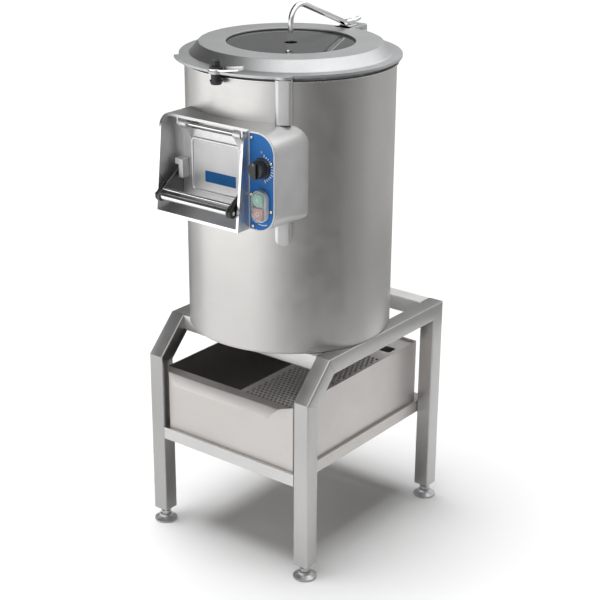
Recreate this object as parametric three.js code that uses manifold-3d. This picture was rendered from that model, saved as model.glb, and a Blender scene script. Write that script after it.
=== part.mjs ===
// Electric potato peeler: a steel drum with an abrasive turntable, a hinged lid with a water spout,
// a cast outlet chute with its door and control box, and a tube stand with a sliding peel tray.
// Millimetres, +Z up, the front faces -Y. Everything is laid out round the drum's axis, and the
// finished machine is then moved so that the origin is on the floor under the middle of its outline.
import * as THREE from 'three';
import { ConvexGeometry } from 'three/addons/geometries/ConvexGeometry.js';
import { mergeVertices } from 'three/addons/utils/BufferGeometryUtils.js';
import Module from 'manifold-3d';

const wasm = await Module();
wasm.setup();

// Clearances and overrun
const GAP = 0.3; // between pieces that touch or are welded
const PLAY = 0.6; // between a turning or sliding piece and its guide
const OVERRUN = 12; // how far a cutting tool runs past what it cuts

// How finely round things are faceted, as counts
const DRUM_SIDES = 48;
const ROUND_SIDES = 20;
const ARM_SIDES = 16;
const SMALL_SIDES = 10;
const CORNER_STEPS = 4;

// Stand of square tube
const STAND = {
  width: 380,
  depth: 435,
  frontReach: 190, // from the drum's axis to the front of the front legs
  height: 425,
  kneeHeight: 358,
  setback: 65, // how far the sloped tubes lead back
  tube: 31.75,
  tubeWall: 2,
  legPlate: 4,
  footGap: 28, // the legs' lower ends above the floor
};
const FOOT = { radius: 22, edge: 5, crown: 10, neck: 8, neckHeight: 16, stem: 5, stemReach: 18 };
const SHELF = { bottom: 188, top: 212, flange: 25, sheet: 2.5, inset: 0.6 };

// Peel tray and its strainer
const TRAY = {
  frontGap: 8.5, // from the stand's front to the tray's
  rearGap: 29.5,
  sideGap: 7.25, // from the legs' inner faces
  height: 128,
  sheet: 1.5,
  rimDepth: 18,
  rimInset: 18,
  lipDrop: 19.5,
  lipReach: 12.5,
  lipInset: 21,
  ledge: 6, // depth of the strainer below the tray's rim
  ledgeWidth: 5,
};
const STRAINER = {
  left: 20,
  sheet: 1.5,
  slotLeft: 55,
  slotRight: 135,
  slotDepth: 26,
  slotFromRear: 45.4, // from the strainer's rear edge to the finger slot
  fold: 12,
};

// Drum and peeling chamber
const DRUM = { radius: 190, wall: 1.5, height: 495, basePlate: 3 };
const TOP_RING = { collar: 8, inner: 183, lip: 4, lipHeight: 2.5 };
const LINER = { thickness: 6 };
const CHAMBER_FLOOR = { drop: 31, thickness: 6, centreHole: 26 }; // its underside below the outlet's sill
const OUTLET = { halfWidth: 62, sill: 24.5, height: 100, corner: 10 }; // its sill above the casting's foot

// Turntable and its bearings
const TURNTABLE = {
  radius: 177,
  thickness: 7,
  lift: 14,
  dome: 10,
  domeRadius: 24,
  domeFoot: 46,
  hub: 30,
  hubDrop: 8,
};
const RIDGE = { count: 3, length: 118, width: 26, height: 9, inner: 44 };
const SHAFT = { radius: 12.5, socket: 14 };
const HOUSING = { radius: 33, overPulley: 44.7, flange: 48, flangeHeight: 7 };
const BEARING = { width: 15, inset: 6 };

// Drive
const PULLEY = { height: 20, lift: 54, rimHeight: 3, rimDepth: 5, drivenRadius: 70, motorRadius: 25 };
const BELT = { thickness: 5 };
const MOTOR = {
  radius: 60,
  headroom: 22, // under the chamber's floor
  lift: 99,
  across: -78,
  back: 78,
  shaft: 7,
  boss: 26,
  bossHeight: 6,
};
const MOTOR_PLATE = {
  radius: 66,
  thickness: 8,
  bore: 28,
  post: 7,
  postCircle: 56,
  postCount: 3,
  postSpread: 1.3, // angle between posts in radians
};
const WASTE = { radius: 24, wall: 3, across: 104, flange: 31, flangeHeight: 4, drop: 22 };
const GLAND = { radius: 10, nut: 14, nutHeight: 6, reach: 22, bore: 5, lift: 50, tail: 12 };

// Lid
const LID = {
  gap: 7.5, // between the drum's top and the lid's flange, filled by the seal
  flangeRadius: 199.5,
  flange: 4.5,
  coneFoot: 180,
  coneTop: 165,
  height: 24.2,
  wall: 3.5,
  windowOpening: 116,
  innerFoot: 173,
  innerTop: 159,
};
const LID_FRONT = { radius: 209, inner: 194, leftDegrees: 43, rightDegrees: 38 };
const LID_SEAL = { outer: 189, inner: 184 };
const WINDOW = { radius: 123, thickness: 5, hole: 11.6 };
const TONGUE = { halfWidth: 17, thickness: 6, front: 150 };
const HINGE = { back: 206, rise: 9.2, pin: 4, knuckle: 8, lugInner: 8, lugOuter: 15, notch: 21 };
const HINGE_PLATE = { halfWidth: 20, drop: 50, topGap: 8, thickness: 6, armHalfWidth: 7.4 };

// Water spout and its clamp
const SPOUT = {
  radius: 5,
  bore: 3.8,
  tipLift: 17.5,
  rise: 18.5,
  bend: 28,
  slope: 0.404,
  end: 166,
  sides: 8,
  steps: 24,
};
const CLAMP = {
  halfWidth: 6,
  front: 166.3,
  rear: 186,
  height: 13,
  footHalfWidth: 12,
  foot: 3,
  footFront: 160,
};
const CONNECTOR = { radius: 5, length: 22, barb: 5.8, barbLength: 8 };

// Lid latch, turned by a flat lever
const LATCH = {
  outset: 4, // of the spindle from the edge of the lid's flange
  earRadius: 14,
  spindle: 4,
  leverHub: 13,
  leverThickness: 4,
  leverLength: 56,
  leverWidth: 16,
  leverRise: 7,
  knobRadius: 8,
  knobHeight: 13,
  collar: 11.5,
  collarHeight: 3,
  catchTop: 11.5,
  catchBottom: 9.5,
  catchHeight: 19,
  shoulder: 2.4, // clear height between the drum's lip and the catch
  neck: 9,
};
const LATCH_LOBES = { count: 6, radius: 2.6 };

// Cable duct on the drum's front right
const DUCT = {
  degrees: 34.8,
  halfWidth: 15,
  depth: 17,
  wall: 2,
  corner: 7,
  topGap: 2.3, // below the lid's flange
  tail: 42.5, // how far it reaches below the front casting
  hole: 7.5,
};
const LOBE = { radius: 16, reach: 200 }; // on the lid's flange, over the duct

// Front casting: the outlet chute on the left and the control box on the right
const CASTING = {
  below: 71.5, // from the drum's top down to the casting's
  height: 170,
  chuteHalfWidth: 94.5,
  wall: 5,
  rimTop: 248, // how far the rim stands from the drum's axis, high and low
  rimBottom: 263,
  rimStraight: 137,
  lipReach: 224.5,
  seatFront: 198.5,
  seat: 6,
  floorAtDoor: 14,
  floorAtRim: 5,
  passageWall: 4,
};
const EAR = { inner: 70.2, outer: 74, height: 17, front: 224, rear: 210.5 };
const BOX = { right: 148.8, front: 229.7, wall: 4, corner: 36, rearCorner: 6, draft: 0.086 };

// Outlet door on its hinge rod
const HINGE_ROD = { radius: 4, reach: 217.5, drop: 14, halfLength: 77 };
const DOOR = { halfWidth: 75.5, bottom: 20, top: 146, face: 207.5, thickness: 6, corner: 8 };
const BEAD = { halfWidth: 56, bottom: 34.5, top: 132, width: 5, height: 2.5, corner: 8 };
const DOOR_SEAL = { halfWidth: 70, bottom: 23.5, top: 129, width: 6 };
const DOOR_ARM = { inner: 53, outer: 69, knuckle: 8.5, foot: 30 };
const BRACKET = { left: 72, right: 62, arm: 80, bottom: 58, top: 92, armHeight: 11, reach: 224.5 };

// Handle on the door: two cheeks with a tie rod, and a grip bar with an arm at each end
const GRIP = { reach: 263.5, lift: 33, radius: 6, left: 88.5, right: 84 };
const CHEEK = { sheet: 2.5, nose: 9.5, topReach: 214, topLift: 75, footReach: 203, footLift: 22 };
const TIE = { radius: 2.5, reach: 259, lift: 44.5 };
const ARM = { thickness: 5.5, hub: 9, tip: 5, tipBack: 12, tipUp: 17, blind: 2 };

// Control panel
const PANEL = { thickness: 2.5, edge: 0.8, leftCorner: 3 };
const KNOB = {
  lift: 111,
  skirt: 20,
  skirtHeight: 4,
  body: 16.5,
  height: 20,
  gripHalfWidth: 5.5,
  gripHalfLength: 18.5,
  gripHeight: 23,
  spindle: 3,
};
const SWITCHES = { halfWidth: 17, timerDepth: 34, contactDepth: 28, socket: 14 };
const BEZEL = { lift: 46.5, halfWidth: 15, halfHeight: 27.5, depth: 9, corner: 13 };
const BUTTON = {
  halfWidth: 9.6,
  halfHeight: 10,
  pitch: 11.8,
  proud: 3.7,
  depth: 8.4,
  stem: 4.5,
  stemReach: 8,
  corner: 4,
};

// Levels and places that follow from the sizes above
const legBottom = STAND.footGap;
const standFront = -STAND.frontReach;
const standRear = standFront + STAND.depth;
const standSide = STAND.width / 2;
const innerSide = standSide - STAND.tube;
const drumFoot = STAND.height + GAP;
const drumTop = drumFoot + DRUM.height;
const shellBottom = drumFoot + DRUM.basePlate + GAP;
const shellTop = drumTop - TOP_RING.lipHeight - GAP;
const innerWall = DRUM.radius - DRUM.wall;
const castingTop = drumTop - CASTING.below;
const castingBottom = castingTop - CASTING.height;
const outletSill = castingBottom + OUTLET.sill;
const outletTop = outletSill + OUTLET.height;
const floorBottom = outletSill - CHAMBER_FLOOR.drop;
const floorTop = floorBottom + CHAMBER_FLOOR.thickness;
const lidBase = drumTop + LID.gap;
const lidTop = lidBase + LID.height;
const flangeTop = lidBase + LID.flange;
const boxLeft = CASTING.chuteHalfWidth;
const panelBack = -BOX.front - GAP;
const panelFace = panelBack - PANEL.thickness;
const controlAcross = (boxLeft + BOX.right) / 2 + PANEL.edge;
const rodHeight = castingTop - HINGE_ROD.drop;
const gripHeight = castingBottom + GRIP.lift;
const hingeHeight = lidBase + HINGE.rise;
const pulleyBottom = drumFoot + PULLEY.lift;
const ductAngle = THREE.MathUtils.degToRad(DUCT.degrees);

// Materials
const material = (color, roughness, metalness) =>
  new THREE.MeshStandardMaterial({ color, roughness, metalness });
const steelSatin = material(0xb9b7b4, 0.38, 1);
const steelBright = material(0xd9dadb, 0.2, 1);
const sheetSteel = material(0xc8c4be, 0.35, 1);
const castAluminium = material(0xb4b6b8, 0.45, 1);
const zincPlate = material(0xa9adb0, 0.4, 1);
const abrasive = material(0x55524e, 0.95, 0);
const blackPlastic = material(0x141416, 0.45, 0);
const blackRubber = material(0x1c1c1d, 0.8, 0);
const greyRubber = material(0x6b6d6f, 0.8, 0);
const blueFoil = material(0x2d6fb8, 0.4, 0);
const smokedGlass = material(0x5a5e62, 0.08, 0);
const motorPaint = material(0x3c4550, 0.5, 0.2);
const greenPlastic = material(0x2f9a63, 0.4, 0);
const redPlastic = material(0xc23a2e, 0.4, 0);
const palePlastic = material(0xc9ccce, 0.4, 0);

// Turns a closed surface so that its faces point out.
function outward(geometry) {
  const bare = geometry.clone();
  bare.deleteAttribute('normal');
  bare.deleteAttribute('uv');
  const merged = mergeVertices(bare);
  const position = merged.getAttribute('position');
  const index = merged.getIndex().array;
  const a = new THREE.Vector3();
  const b = new THREE.Vector3();
  const c = new THREE.Vector3();
  let volume = 0;
  for (let i = 0; i < index.length; i += 3) {
    a.fromBufferAttribute(position, index[i]);
    b.fromBufferAttribute(position, index[i + 1]);
    c.fromBufferAttribute(position, index[i + 2]);
    volume += a.dot(b.cross(c));
  }
  if (volume < 0) {
    for (let i = 0; i < index.length; i += 3) {
      [index[i], index[i + 1]] = [index[i + 1], index[i]];
    }
  }
  return merged;
}

function toSolid(geometry) {
  const merged = outward(geometry);
  const vertProperties = new Float32Array(merged.getAttribute('position').array);
  const triVerts = new Uint32Array(merged.getIndex().array);
  return new wasm.Manifold(new wasm.Mesh({ numProp: 3, vertProperties, triVerts }));
}

function toGeometry(solid) {
  const mesh = solid.getMesh();
  const geometry = new THREE.BufferGeometry();
  geometry.setAttribute('position', new THREE.BufferAttribute(mesh.vertProperties, 3));
  geometry.setIndex(new THREE.BufferAttribute(mesh.triVerts, 1));
  return geometry;
}

const cut = (base, ...tools) =>
  toGeometry(tools.reduce((left, tool) => left.subtract(toSolid(tool)), toSolid(base)));
const join = (first, ...others) =>
  toGeometry(others.reduce((sum, other) => sum.add(toSolid(other)), toSolid(first)));
const common = (first, second) => toGeometry(toSolid(first).intersect(toSolid(second)));

// A block between two corners.
function block(x0, x1, y0, y1, z0, z1) {
  const geometry = new THREE.BoxGeometry(x1 - x0, y1 - y0, z1 - z0);
  return geometry.translate((x0 + x1) / 2, (y0 + y1) / 2, (z0 + z1) / 2);
}

// An upright round post.
function post(radius, z0, z1, x = 0, y = 0, sides = ROUND_SIDES) {
  const geometry = new THREE.CylinderGeometry(radius, radius, z1 - z0, sides);
  return geometry.rotateX(Math.PI / 2).translate(x, y, (z0 + z1) / 2);
}

// A round bar along X.
function barAlongX(radius, x0, x1, y, z, sides = ROUND_SIDES) {
  const geometry = new THREE.CylinderGeometry(radius, radius, x1 - x0, sides);
  return geometry.rotateZ(Math.PI / 2).translate((x0 + x1) / 2, y, z);
}

// A round bar along Y.
function barAlongY(radius, y0, y1, x, z, sides = ROUND_SIDES) {
  const geometry = new THREE.CylinderGeometry(radius, radius, y1 - y0, sides);
  return geometry.translate(x, (y0 + y1) / 2, z);
}

// A profile of [radius, height] points turned about the Z axis.
function turned(profile, sides = DRUM_SIDES) {
  const points = profile.map(([radius, height]) => new THREE.Vector2(radius, height));
  return new THREE.LatheGeometry(points, sides).rotateX(Math.PI / 2);
}

// A ring: the profile closes on itself.
const ring = (outer, inner, z0, z1, sides = DRUM_SIDES) =>
  turned([[inner, z0], [outer, z0], [outer, z1], [inner, z1], [inner, z0]], sides);

const outline = (points) => new THREE.Shape(points.map(([u, v]) => new THREE.Vector2(u, v)));

// A rectangle with its own radius at each corner, counterclockwise from the lower left.
function roundedOutline(u0, u1, v0, v1, radii) {
  const [lowLeft, lowRight, highRight, highLeft] = radii;
  const shape = new THREE.Shape();
  shape.moveTo(u0 + lowLeft, v0);
  shape.lineTo(u1 - lowRight, v0);
  if (lowRight) shape.absarc(u1 - lowRight, v0 + lowRight, lowRight, -Math.PI / 2, 0);
  shape.lineTo(u1, v1 - highRight);
  if (highRight) shape.absarc(u1 - highRight, v1 - highRight, highRight, 0, Math.PI / 2);
  shape.lineTo(u0 + highLeft, v1);
  if (highLeft) shape.absarc(u0 + highLeft, v1 - highLeft, highLeft, Math.PI / 2, Math.PI);
  shape.lineTo(u0, v0 + lowLeft);
  if (lowLeft) shape.absarc(u0 + lowLeft, v0 + lowLeft, lowLeft, Math.PI, Math.PI * 1.5);
  return shape;
}

function extruded(shape, depth) {
  return new THREE.ExtrudeGeometry(shape, { depth, bevelEnabled: false, curveSegments: CORNER_STEPS });
}

// Extrusions of an outline drawn in the plane square to the named axis.
function alongZ(shape, z0, z1) {
  return extruded(shape, z1 - z0).translate(0, 0, z0);
}

function alongX(shape, x0, x1) {
  const turn = new THREE.Matrix4().makeBasis(
    new THREE.Vector3(0, 1, 0),
    new THREE.Vector3(0, 0, 1),
    new THREE.Vector3(1, 0, 0),
  );
  return extruded(shape, x1 - x0).applyMatrix4(turn).translate(x0, 0, 0);
}

function alongY(shape, y0, y1) {
  return extruded(shape, y1 - y0).rotateX(Math.PI / 2).translate(0, y1, 0);
}

// The convex block round a list of [x, y, z] corners.
const hull = (corners) => new ConvexGeometry(corners.map(([x, y, z]) => new THREE.Vector3(x, y, z)));

// Corners round a circle that lies square to X, at each of the given places along X.
function roundCorners(places, radius, y, z) {
  const corners = [];
  for (const x of places) {
    for (let i = 0; i < ARM_SIDES; i += 1) {
      const angle = (i * 2 * Math.PI) / ARM_SIDES;
      corners.push([x, y + radius * Math.cos(angle), z + radius * Math.sin(angle)]);
    }
  }
  return corners;
}

const machine = new THREE.Group();
machine.name = 'potato_peeler';

function add(name, geometry, finish) {
  const mesh = new THREE.Mesh(outward(geometry), finish.clone());
  mesh.name = name;
  machine.add(mesh);
  return mesh;
}

// Stand

// The side frame's route set in from its outer edge: up the front leg, along the slope and the
// top rail, and down the rear leg.
function frameRoute(inset, foot) {
  const lean = Math.atan2(STAND.setback, STAND.height - STAND.kneeHeight);
  const level = Math.PI / 2 - lean;
  return [
    [standFront + inset, foot],
    [standFront + inset, STAND.kneeHeight - inset * Math.tan(lean / 2)],
    [standFront + STAND.setback + inset * Math.tan(level / 2), STAND.height - inset],
    [standRear - inset, STAND.height - inset],
    [standRear - inset, foot],
  ];
}

function frameOutline(inset, foot) {
  return outline([...frameRoute(inset, foot), ...frameRoute(STAND.tube - inset, foot).reverse()]);
}

const legCentresY = [standFront + STAND.tube / 2, standRear - STAND.tube / 2];
const legCentreX = standSide - STAND.tube / 2;

for (const [side, label] of [[-1, 'left'], [1, 'right']]) {
  const edges = [side * standSide, side * innerSide].sort((a, b) => a - b);
  const bar = alongX(frameOutline(0, legBottom), ...edges);
  const plateTop = legBottom + STAND.legPlate;
  const wall = STAND.tubeWall;
  const hollow = alongX(frameOutline(wall, plateTop), edges[0] + wall, edges[1] - wall);
  const holes = legCentresY.map((y) => {
    const x = side * legCentreX;
    return post(FOOT.stem + PLAY, legBottom - OVERRUN, plateTop + wall, x, y, SMALL_SIDES);
  });
  add(`${label}_side_frame`, cut(bar, hollow, ...holes), steelSatin);
}

// A square tube across the stand, open at its ends.
function crossTube(y0) {
  const low = STAND.height - STAND.tube;
  const reach = innerSide - GAP;
  const wall = STAND.tubeWall;
  const far = reach + OVERRUN;
  const bar = block(-reach, reach, y0, y0 + STAND.tube, low, STAND.height);
  const core = block(-far, far, y0 + wall, y0 + STAND.tube - wall, low + wall, STAND.height - wall);
  return cut(bar, core);
}

add('front_cross_tube', crossTube(standFront + STAND.setback), steelSatin);
add('rear_cross_tube', crossTube(standRear - STAND.tube), steelSatin);

// The shelf that carries the tray: an angle section in front, one behind and two runners.
const angleSection = (edge, side) => outline([
  [edge, SHELF.bottom],
  [edge + side * SHELF.sheet, SHELF.bottom],
  [edge + side * SHELF.sheet, SHELF.top - SHELF.sheet],
  [edge + side * SHELF.flange, SHELF.top - SHELF.sheet],
  [edge + side * SHELF.flange, SHELF.top],
  [edge, SHELF.top],
]);
const shelfFront = standFront + SHELF.inset;
const shelfRear = standRear - SHELF.inset;
const shelfReach = innerSide - GAP;
add('front_shelf_rail', alongX(angleSection(shelfFront, 1), -shelfReach, shelfReach), steelSatin);
add('rear_shelf_rail', alongX(angleSection(shelfRear, -1), -shelfReach, shelfReach), steelSatin);
const runnerFront = shelfFront + SHELF.flange + GAP;
const runnerRear = shelfRear - SHELF.flange - GAP;
add('left_tray_runner', alongY(angleSection(-shelfReach, 1), runnerFront, runnerRear), steelSatin);
add('right_tray_runner', alongY(angleSection(shelfReach, -1), runnerFront, runnerRear), steelSatin);

// A levelling foot whose stem stands in the leg's end plate.
function levellingFoot(x, y) {
  const profile = [
    [0, 0],
    [FOOT.radius, 0],
    [FOOT.radius, FOOT.edge],
    [FOOT.neck, FOOT.crown],
    [FOOT.neck, FOOT.neckHeight],
    [FOOT.stem, FOOT.neckHeight],
    [FOOT.stem, legBottom + FOOT.stemReach],
    [0, legBottom + FOOT.stemReach],
  ];
  return turned(profile, ROUND_SIDES).translate(x, y, 0);
}

add('front_left_foot', levellingFoot(-legCentreX, legCentresY[0]), zincPlate);
add('front_right_foot', levellingFoot(legCentreX, legCentresY[0]), zincPlate);
add('rear_left_foot', levellingFoot(-legCentreX, legCentresY[1]), zincPlate);
add('rear_right_foot', levellingFoot(legCentreX, legCentresY[1]), zincPlate);

// Peel tray
const trayBottom = SHELF.top + GAP;
const trayTop = trayBottom + TRAY.height;
const trayFront = standFront + TRAY.frontGap;
const trayRear = standRear - TRAY.rearGap;
const traySide = innerSide - TRAY.sideGap;
const strainerTop = trayTop - TRAY.ledge;

function peelTray() {
  const sheet = TRAY.sheet;
  const shell = block(-traySide, traySide, trayFront, trayRear, trayBottom, trayTop);
  const inner = traySide - sheet;
  const inside = block(
    -inner, inner, trayFront + sheet, trayRear - sheet, trayBottom + sheet, trayTop + OVERRUN);
  // The pull lip: a flat rim with mitred ends, then a flap that slopes down and out.
  const rimEdge = trayFront - TRAY.rimDepth;
  const rimReach = traySide - TRAY.rimInset;
  const flapEdge = rimEdge - TRAY.lipReach;
  const flapReach = rimReach - TRAY.lipInset;
  const rimCorners = [];
  const flapCorners = [];
  for (const side of [-1, 1]) {
    for (const z of [trayTop - sheet, trayTop]) {
      rimCorners.push([side * traySide, trayFront + sheet, z], [side * rimReach, rimEdge, z]);
    }
    for (const y of [0, sheet]) {
      flapCorners.push([side * rimReach, rimEdge + y, trayTop]);
      flapCorners.push([side * flapReach, flapEdge + y, trayTop - TRAY.lipDrop]);
    }
  }
  const rim = hull(rimCorners);
  const flap = hull(flapCorners);
  // Ledges on the front and rear walls carry the strainer.
  const ledgeTop = strainerTop - STRAINER.sheet - GAP;
  const ledgeBottom = ledgeTop - sheet;
  const wall = sheet / 2;
  const ledge = (y0, y1) => block(STRAINER.left, traySide - wall, y0, y1, ledgeBottom, ledgeTop);
  const frontLedge = ledge(trayFront + wall, trayFront + sheet + TRAY.ledgeWidth);
  const rearLedge = ledge(trayRear - sheet - TRAY.ledgeWidth, trayRear - wall);
  return join(cut(shell, inside), rim, flap, frontLedge, rearLedge);
}

add('peel_tray', peelTray(), sheetSteel);

function strainer() {
  const left = STRAINER.left;
  const right = traySide - TRAY.sheet - PLAY;
  const front = trayFront + TRAY.sheet + PLAY;
  const rear = trayRear - TRAY.sheet - PLAY;
  const low = strainerTop - STRAINER.sheet;
  const plate = block(left, right, front, rear, low, strainerTop);
  const inset = TRAY.ledgeWidth + PLAY;
  const fold = block(
    left, left + STRAINER.sheet, front + inset, rear - inset, low - STRAINER.fold, low);
  const slotRear = rear - STRAINER.slotFromRear;
  const slot = block(
    STRAINER.slotLeft,
    STRAINER.slotRight,
    slotRear - STRAINER.slotDepth,
    slotRear,
    low - OVERRUN,
    strainerTop + OVERRUN,
  );
  return cut(join(plate, fold), slot);
}

add('tray_strainer', strainer(), sheetSteel);

// Drum
const wasteX = WASTE.across;
const duct = { x: Math.sin(ductAngle), y: -Math.cos(ductAngle) };

const basePlate = cut(
  post(DRUM.radius, drumFoot, drumFoot + DRUM.basePlate, 0, 0, DRUM_SIDES),
  post(WASTE.radius + GAP, drumFoot - OVERRUN, drumFoot + DRUM.basePlate + OVERRUN, wasteX, 0),
);
add('drum_base_plate', basePlate, steelSatin);

// The outlet's opening, cut through whatever stands in front of the chamber.
const outletShape = roundedOutline(
  -OUTLET.halfWidth, OUTLET.halfWidth, outletSill, outletTop, Array(4).fill(OUTLET.corner));
const outletTool = alongY(outletShape, -DRUM.radius * 2, -DRUM.radius / 2);

// Holes through the shell: one into the duct's lower end, one for the gland behind.
const shellHole = (radius, y, z) =>
  barAlongY(radius, y - OVERRUN, y + OVERRUN, 0, z, SMALL_SIDES);
const ductBottom = castingBottom - DUCT.tail;
const cableHole = shellHole(DUCT.hole, -DRUM.radius, ductBottom + DUCT.halfWidth).rotateZ(ductAngle);
const glandHeight = drumFoot + GLAND.lift;
const glandTail = GLAND.radius - GLAND.bore / 2;
const glandHole = shellHole(glandTail + GAP, DRUM.radius, glandHeight);
const shell = cut(
  ring(DRUM.radius, innerWall, shellBottom, shellTop),
  outletTool,
  cableHole,
  glandHole,
);
add('drum_shell', shell, steelSatin);

const topRing = turned([
  [TOP_RING.inner, drumTop - TOP_RING.collar],
  [innerWall - GAP, drumTop - TOP_RING.collar],
  [innerWall - GAP, shellTop + GAP],
  [DRUM.radius + TOP_RING.lip, shellTop + GAP],
  [DRUM.radius + TOP_RING.lip, drumTop],
  [TOP_RING.inner, drumTop],
  [TOP_RING.inner, drumTop - TOP_RING.collar],
]);
add('drum_top_ring', topRing, castAluminium);

const linerOuter = innerWall - GAP;
const liner = cut(
  ring(linerOuter, linerOuter - LINER.thickness, floorTop + GAP, drumTop - TOP_RING.collar - GAP),
  outletTool,
);
add('abrasive_liner', liner, abrasive);

const floorPlate = cut(
  post(linerOuter, floorBottom, floorTop, 0, 0, DRUM_SIDES),
  post(CHAMBER_FLOOR.centreHole, floorBottom - OVERRUN, floorTop + OVERRUN),
  post(WASTE.radius - WASTE.wall, floorBottom - OVERRUN, floorTop + OVERRUN, wasteX, 0),
);
add('chamber_floor', floorPlate, castAluminium);

// Turntable, its shaft and bearings
const tableBottom = floorTop + TURNTABLE.lift;
const tableTop = tableBottom + TURNTABLE.thickness;
const socketTop = tableBottom - TURNTABLE.hubDrop + SHAFT.socket;

function turntable() {
  const bore = SHAFT.radius + GAP;
  const disc = turned([
    [0, socketTop],
    [bore, socketTop],
    [bore, tableBottom - TURNTABLE.hubDrop],
    [TURNTABLE.hub, tableBottom - TURNTABLE.hubDrop],
    [TURNTABLE.hub, tableBottom],
    [TURNTABLE.radius, tableBottom],
    [TURNTABLE.radius, tableTop],
    [TURNTABLE.domeFoot, tableTop],
    [TURNTABLE.domeRadius, tableTop + TURNTABLE.dome],
    [0, tableTop + TURNTABLE.dome],
  ]);
  // Raised ridges that throw the potatoes round.
  const ridges = [];
  const outer = RIDGE.inner + RIDGE.length;
  for (let i = 0; i < RIDGE.count; i += 1) {
    const foot = tableTop - TURNTABLE.thickness / 2;
    const crest = tableTop + RIDGE.height;
    const ridge = hull([
      [RIDGE.inner, -RIDGE.width / 2, foot],
      [RIDGE.inner, RIDGE.width / 2, foot],
      [outer, -RIDGE.width / 2, foot],
      [outer, RIDGE.width / 2, foot],
      [RIDGE.inner + RIDGE.width / 2, 0, crest],
      [outer - RIDGE.width / 2, 0, crest],
    ]);
    ridges.push(ridge.rotateZ((i * 2 * Math.PI) / RIDGE.count));
  }
  return join(disc, ...ridges);
}

add('turntable', turntable(), abrasive);

const shaftBottom = pulleyBottom - PULLEY.rimHeight;
add('main_shaft', post(SHAFT.radius, shaftBottom, socketTop - GAP), steelBright);

const housingTop = floorBottom - GAP;
const housingBottom = pulleyBottom + PULLEY.height + HOUSING.overPulley;
const housing = turned([
  [CHAMBER_FLOOR.centreHole, housingBottom],
  [HOUSING.radius, housingBottom],
  [HOUSING.radius, housingTop - HOUSING.flangeHeight],
  [HOUSING.flange, housingTop - HOUSING.flangeHeight],
  [HOUSING.flange, housingTop],
  [CHAMBER_FLOOR.centreHole, housingTop],
  [CHAMBER_FLOOR.centreHole, housingBottom],
], ROUND_SIDES);
add('bearing_housing', housing, castAluminium);

const bearingRing = (z0, height) =>
  ring(CHAMBER_FLOOR.centreHole - GAP, SHAFT.radius + GAP, z0, z0 + height, ROUND_SIDES);
add('upper_bearing', bearingRing(housingTop - BEARING.inset - BEARING.width, BEARING.width), steelBright);
add('lower_bearing', bearingRing(housingBottom + BEARING.inset, BEARING.width), steelBright);
add('shaft_seal', bearingRing(floorBottom, CHAMBER_FLOOR.thickness), blackRubber);

// A flat belt pulley with a rim on each side.
function pulley(radius, bore, x, y) {
  const top = pulleyBottom + PULLEY.height;
  const rim = radius + PULLEY.rimDepth;
  const profile = [
    [bore, pulleyBottom],
    [rim, pulleyBottom],
    [rim, pulleyBottom + PULLEY.rimHeight],
    [radius, pulleyBottom + PULLEY.rimHeight],
    [radius, top - PULLEY.rimHeight],
    [rim, top - PULLEY.rimHeight],
    [rim, top],
    [bore, top],
    [bore, pulleyBottom],
  ];
  return turned(profile, ROUND_SIDES).translate(x, y, 0);
}

add('driven_pulley', pulley(PULLEY.drivenRadius, SHAFT.radius + GAP, 0, 0), castAluminium);
add('motor_pulley', pulley(PULLEY.motorRadius, MOTOR.shaft + GAP, MOTOR.across, MOTOR.back), castAluminium);

// The belt lies round both pulleys: the space between two hulls of two circles.
function beltSlab(grow, z0, z1) {
  const corners = [];
  const pulleys = [[0, 0, PULLEY.drivenRadius], [MOTOR.across, MOTOR.back, PULLEY.motorRadius]];
  for (const [x, y, radius] of pulleys) {
    const reach = (radius + grow) / Math.cos(Math.PI / DRUM_SIDES);
    for (let i = 0; i < DRUM_SIDES; i += 1) {
      const angle = ((i + 0.5) * 2 * Math.PI) / DRUM_SIDES;
      corners.push([x + reach * Math.cos(angle), y + reach * Math.sin(angle), z0]);
      corners.push([x + reach * Math.cos(angle), y + reach * Math.sin(angle), z1]);
    }
  }
  return hull(corners);
}

const beltBottom = pulleyBottom + PULLEY.rimHeight + PLAY;
const beltTop = pulleyBottom + PULLEY.height - PULLEY.rimHeight - PLAY;
const belt = cut(
  beltSlab(GAP + BELT.thickness, beltBottom, beltTop),
  beltSlab(GAP, beltBottom - OVERRUN, beltTop + OVERRUN),
);
add('drive_belt', belt, blackRubber);

const motorBottom = drumFoot + MOTOR.lift;
const motorTop = floorBottom - MOTOR.headroom;
const shaftReach = motorBottom + (motorTop - motorBottom) / 4;
const motorShaft = post(MOTOR.shaft, shaftBottom, shaftReach, MOTOR.across, MOTOR.back, SMALL_SIDES);
add('motor_shaft', motorShaft, steelBright);

const motor = turned([
  [0, shaftReach + PLAY],
  [MOTOR.shaft + PLAY, shaftReach + PLAY],
  [MOTOR.shaft + PLAY, motorBottom - MOTOR.bossHeight],
  [MOTOR.boss, motorBottom - MOTOR.bossHeight],
  [MOTOR.boss, motorBottom],
  [MOTOR.radius, motorBottom],
  [MOTOR.radius, motorTop],
  [0, motorTop],
], ROUND_SIDES).translate(MOTOR.across, MOTOR.back, 0);
add('drive_motor', motor, motorPaint);

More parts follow.
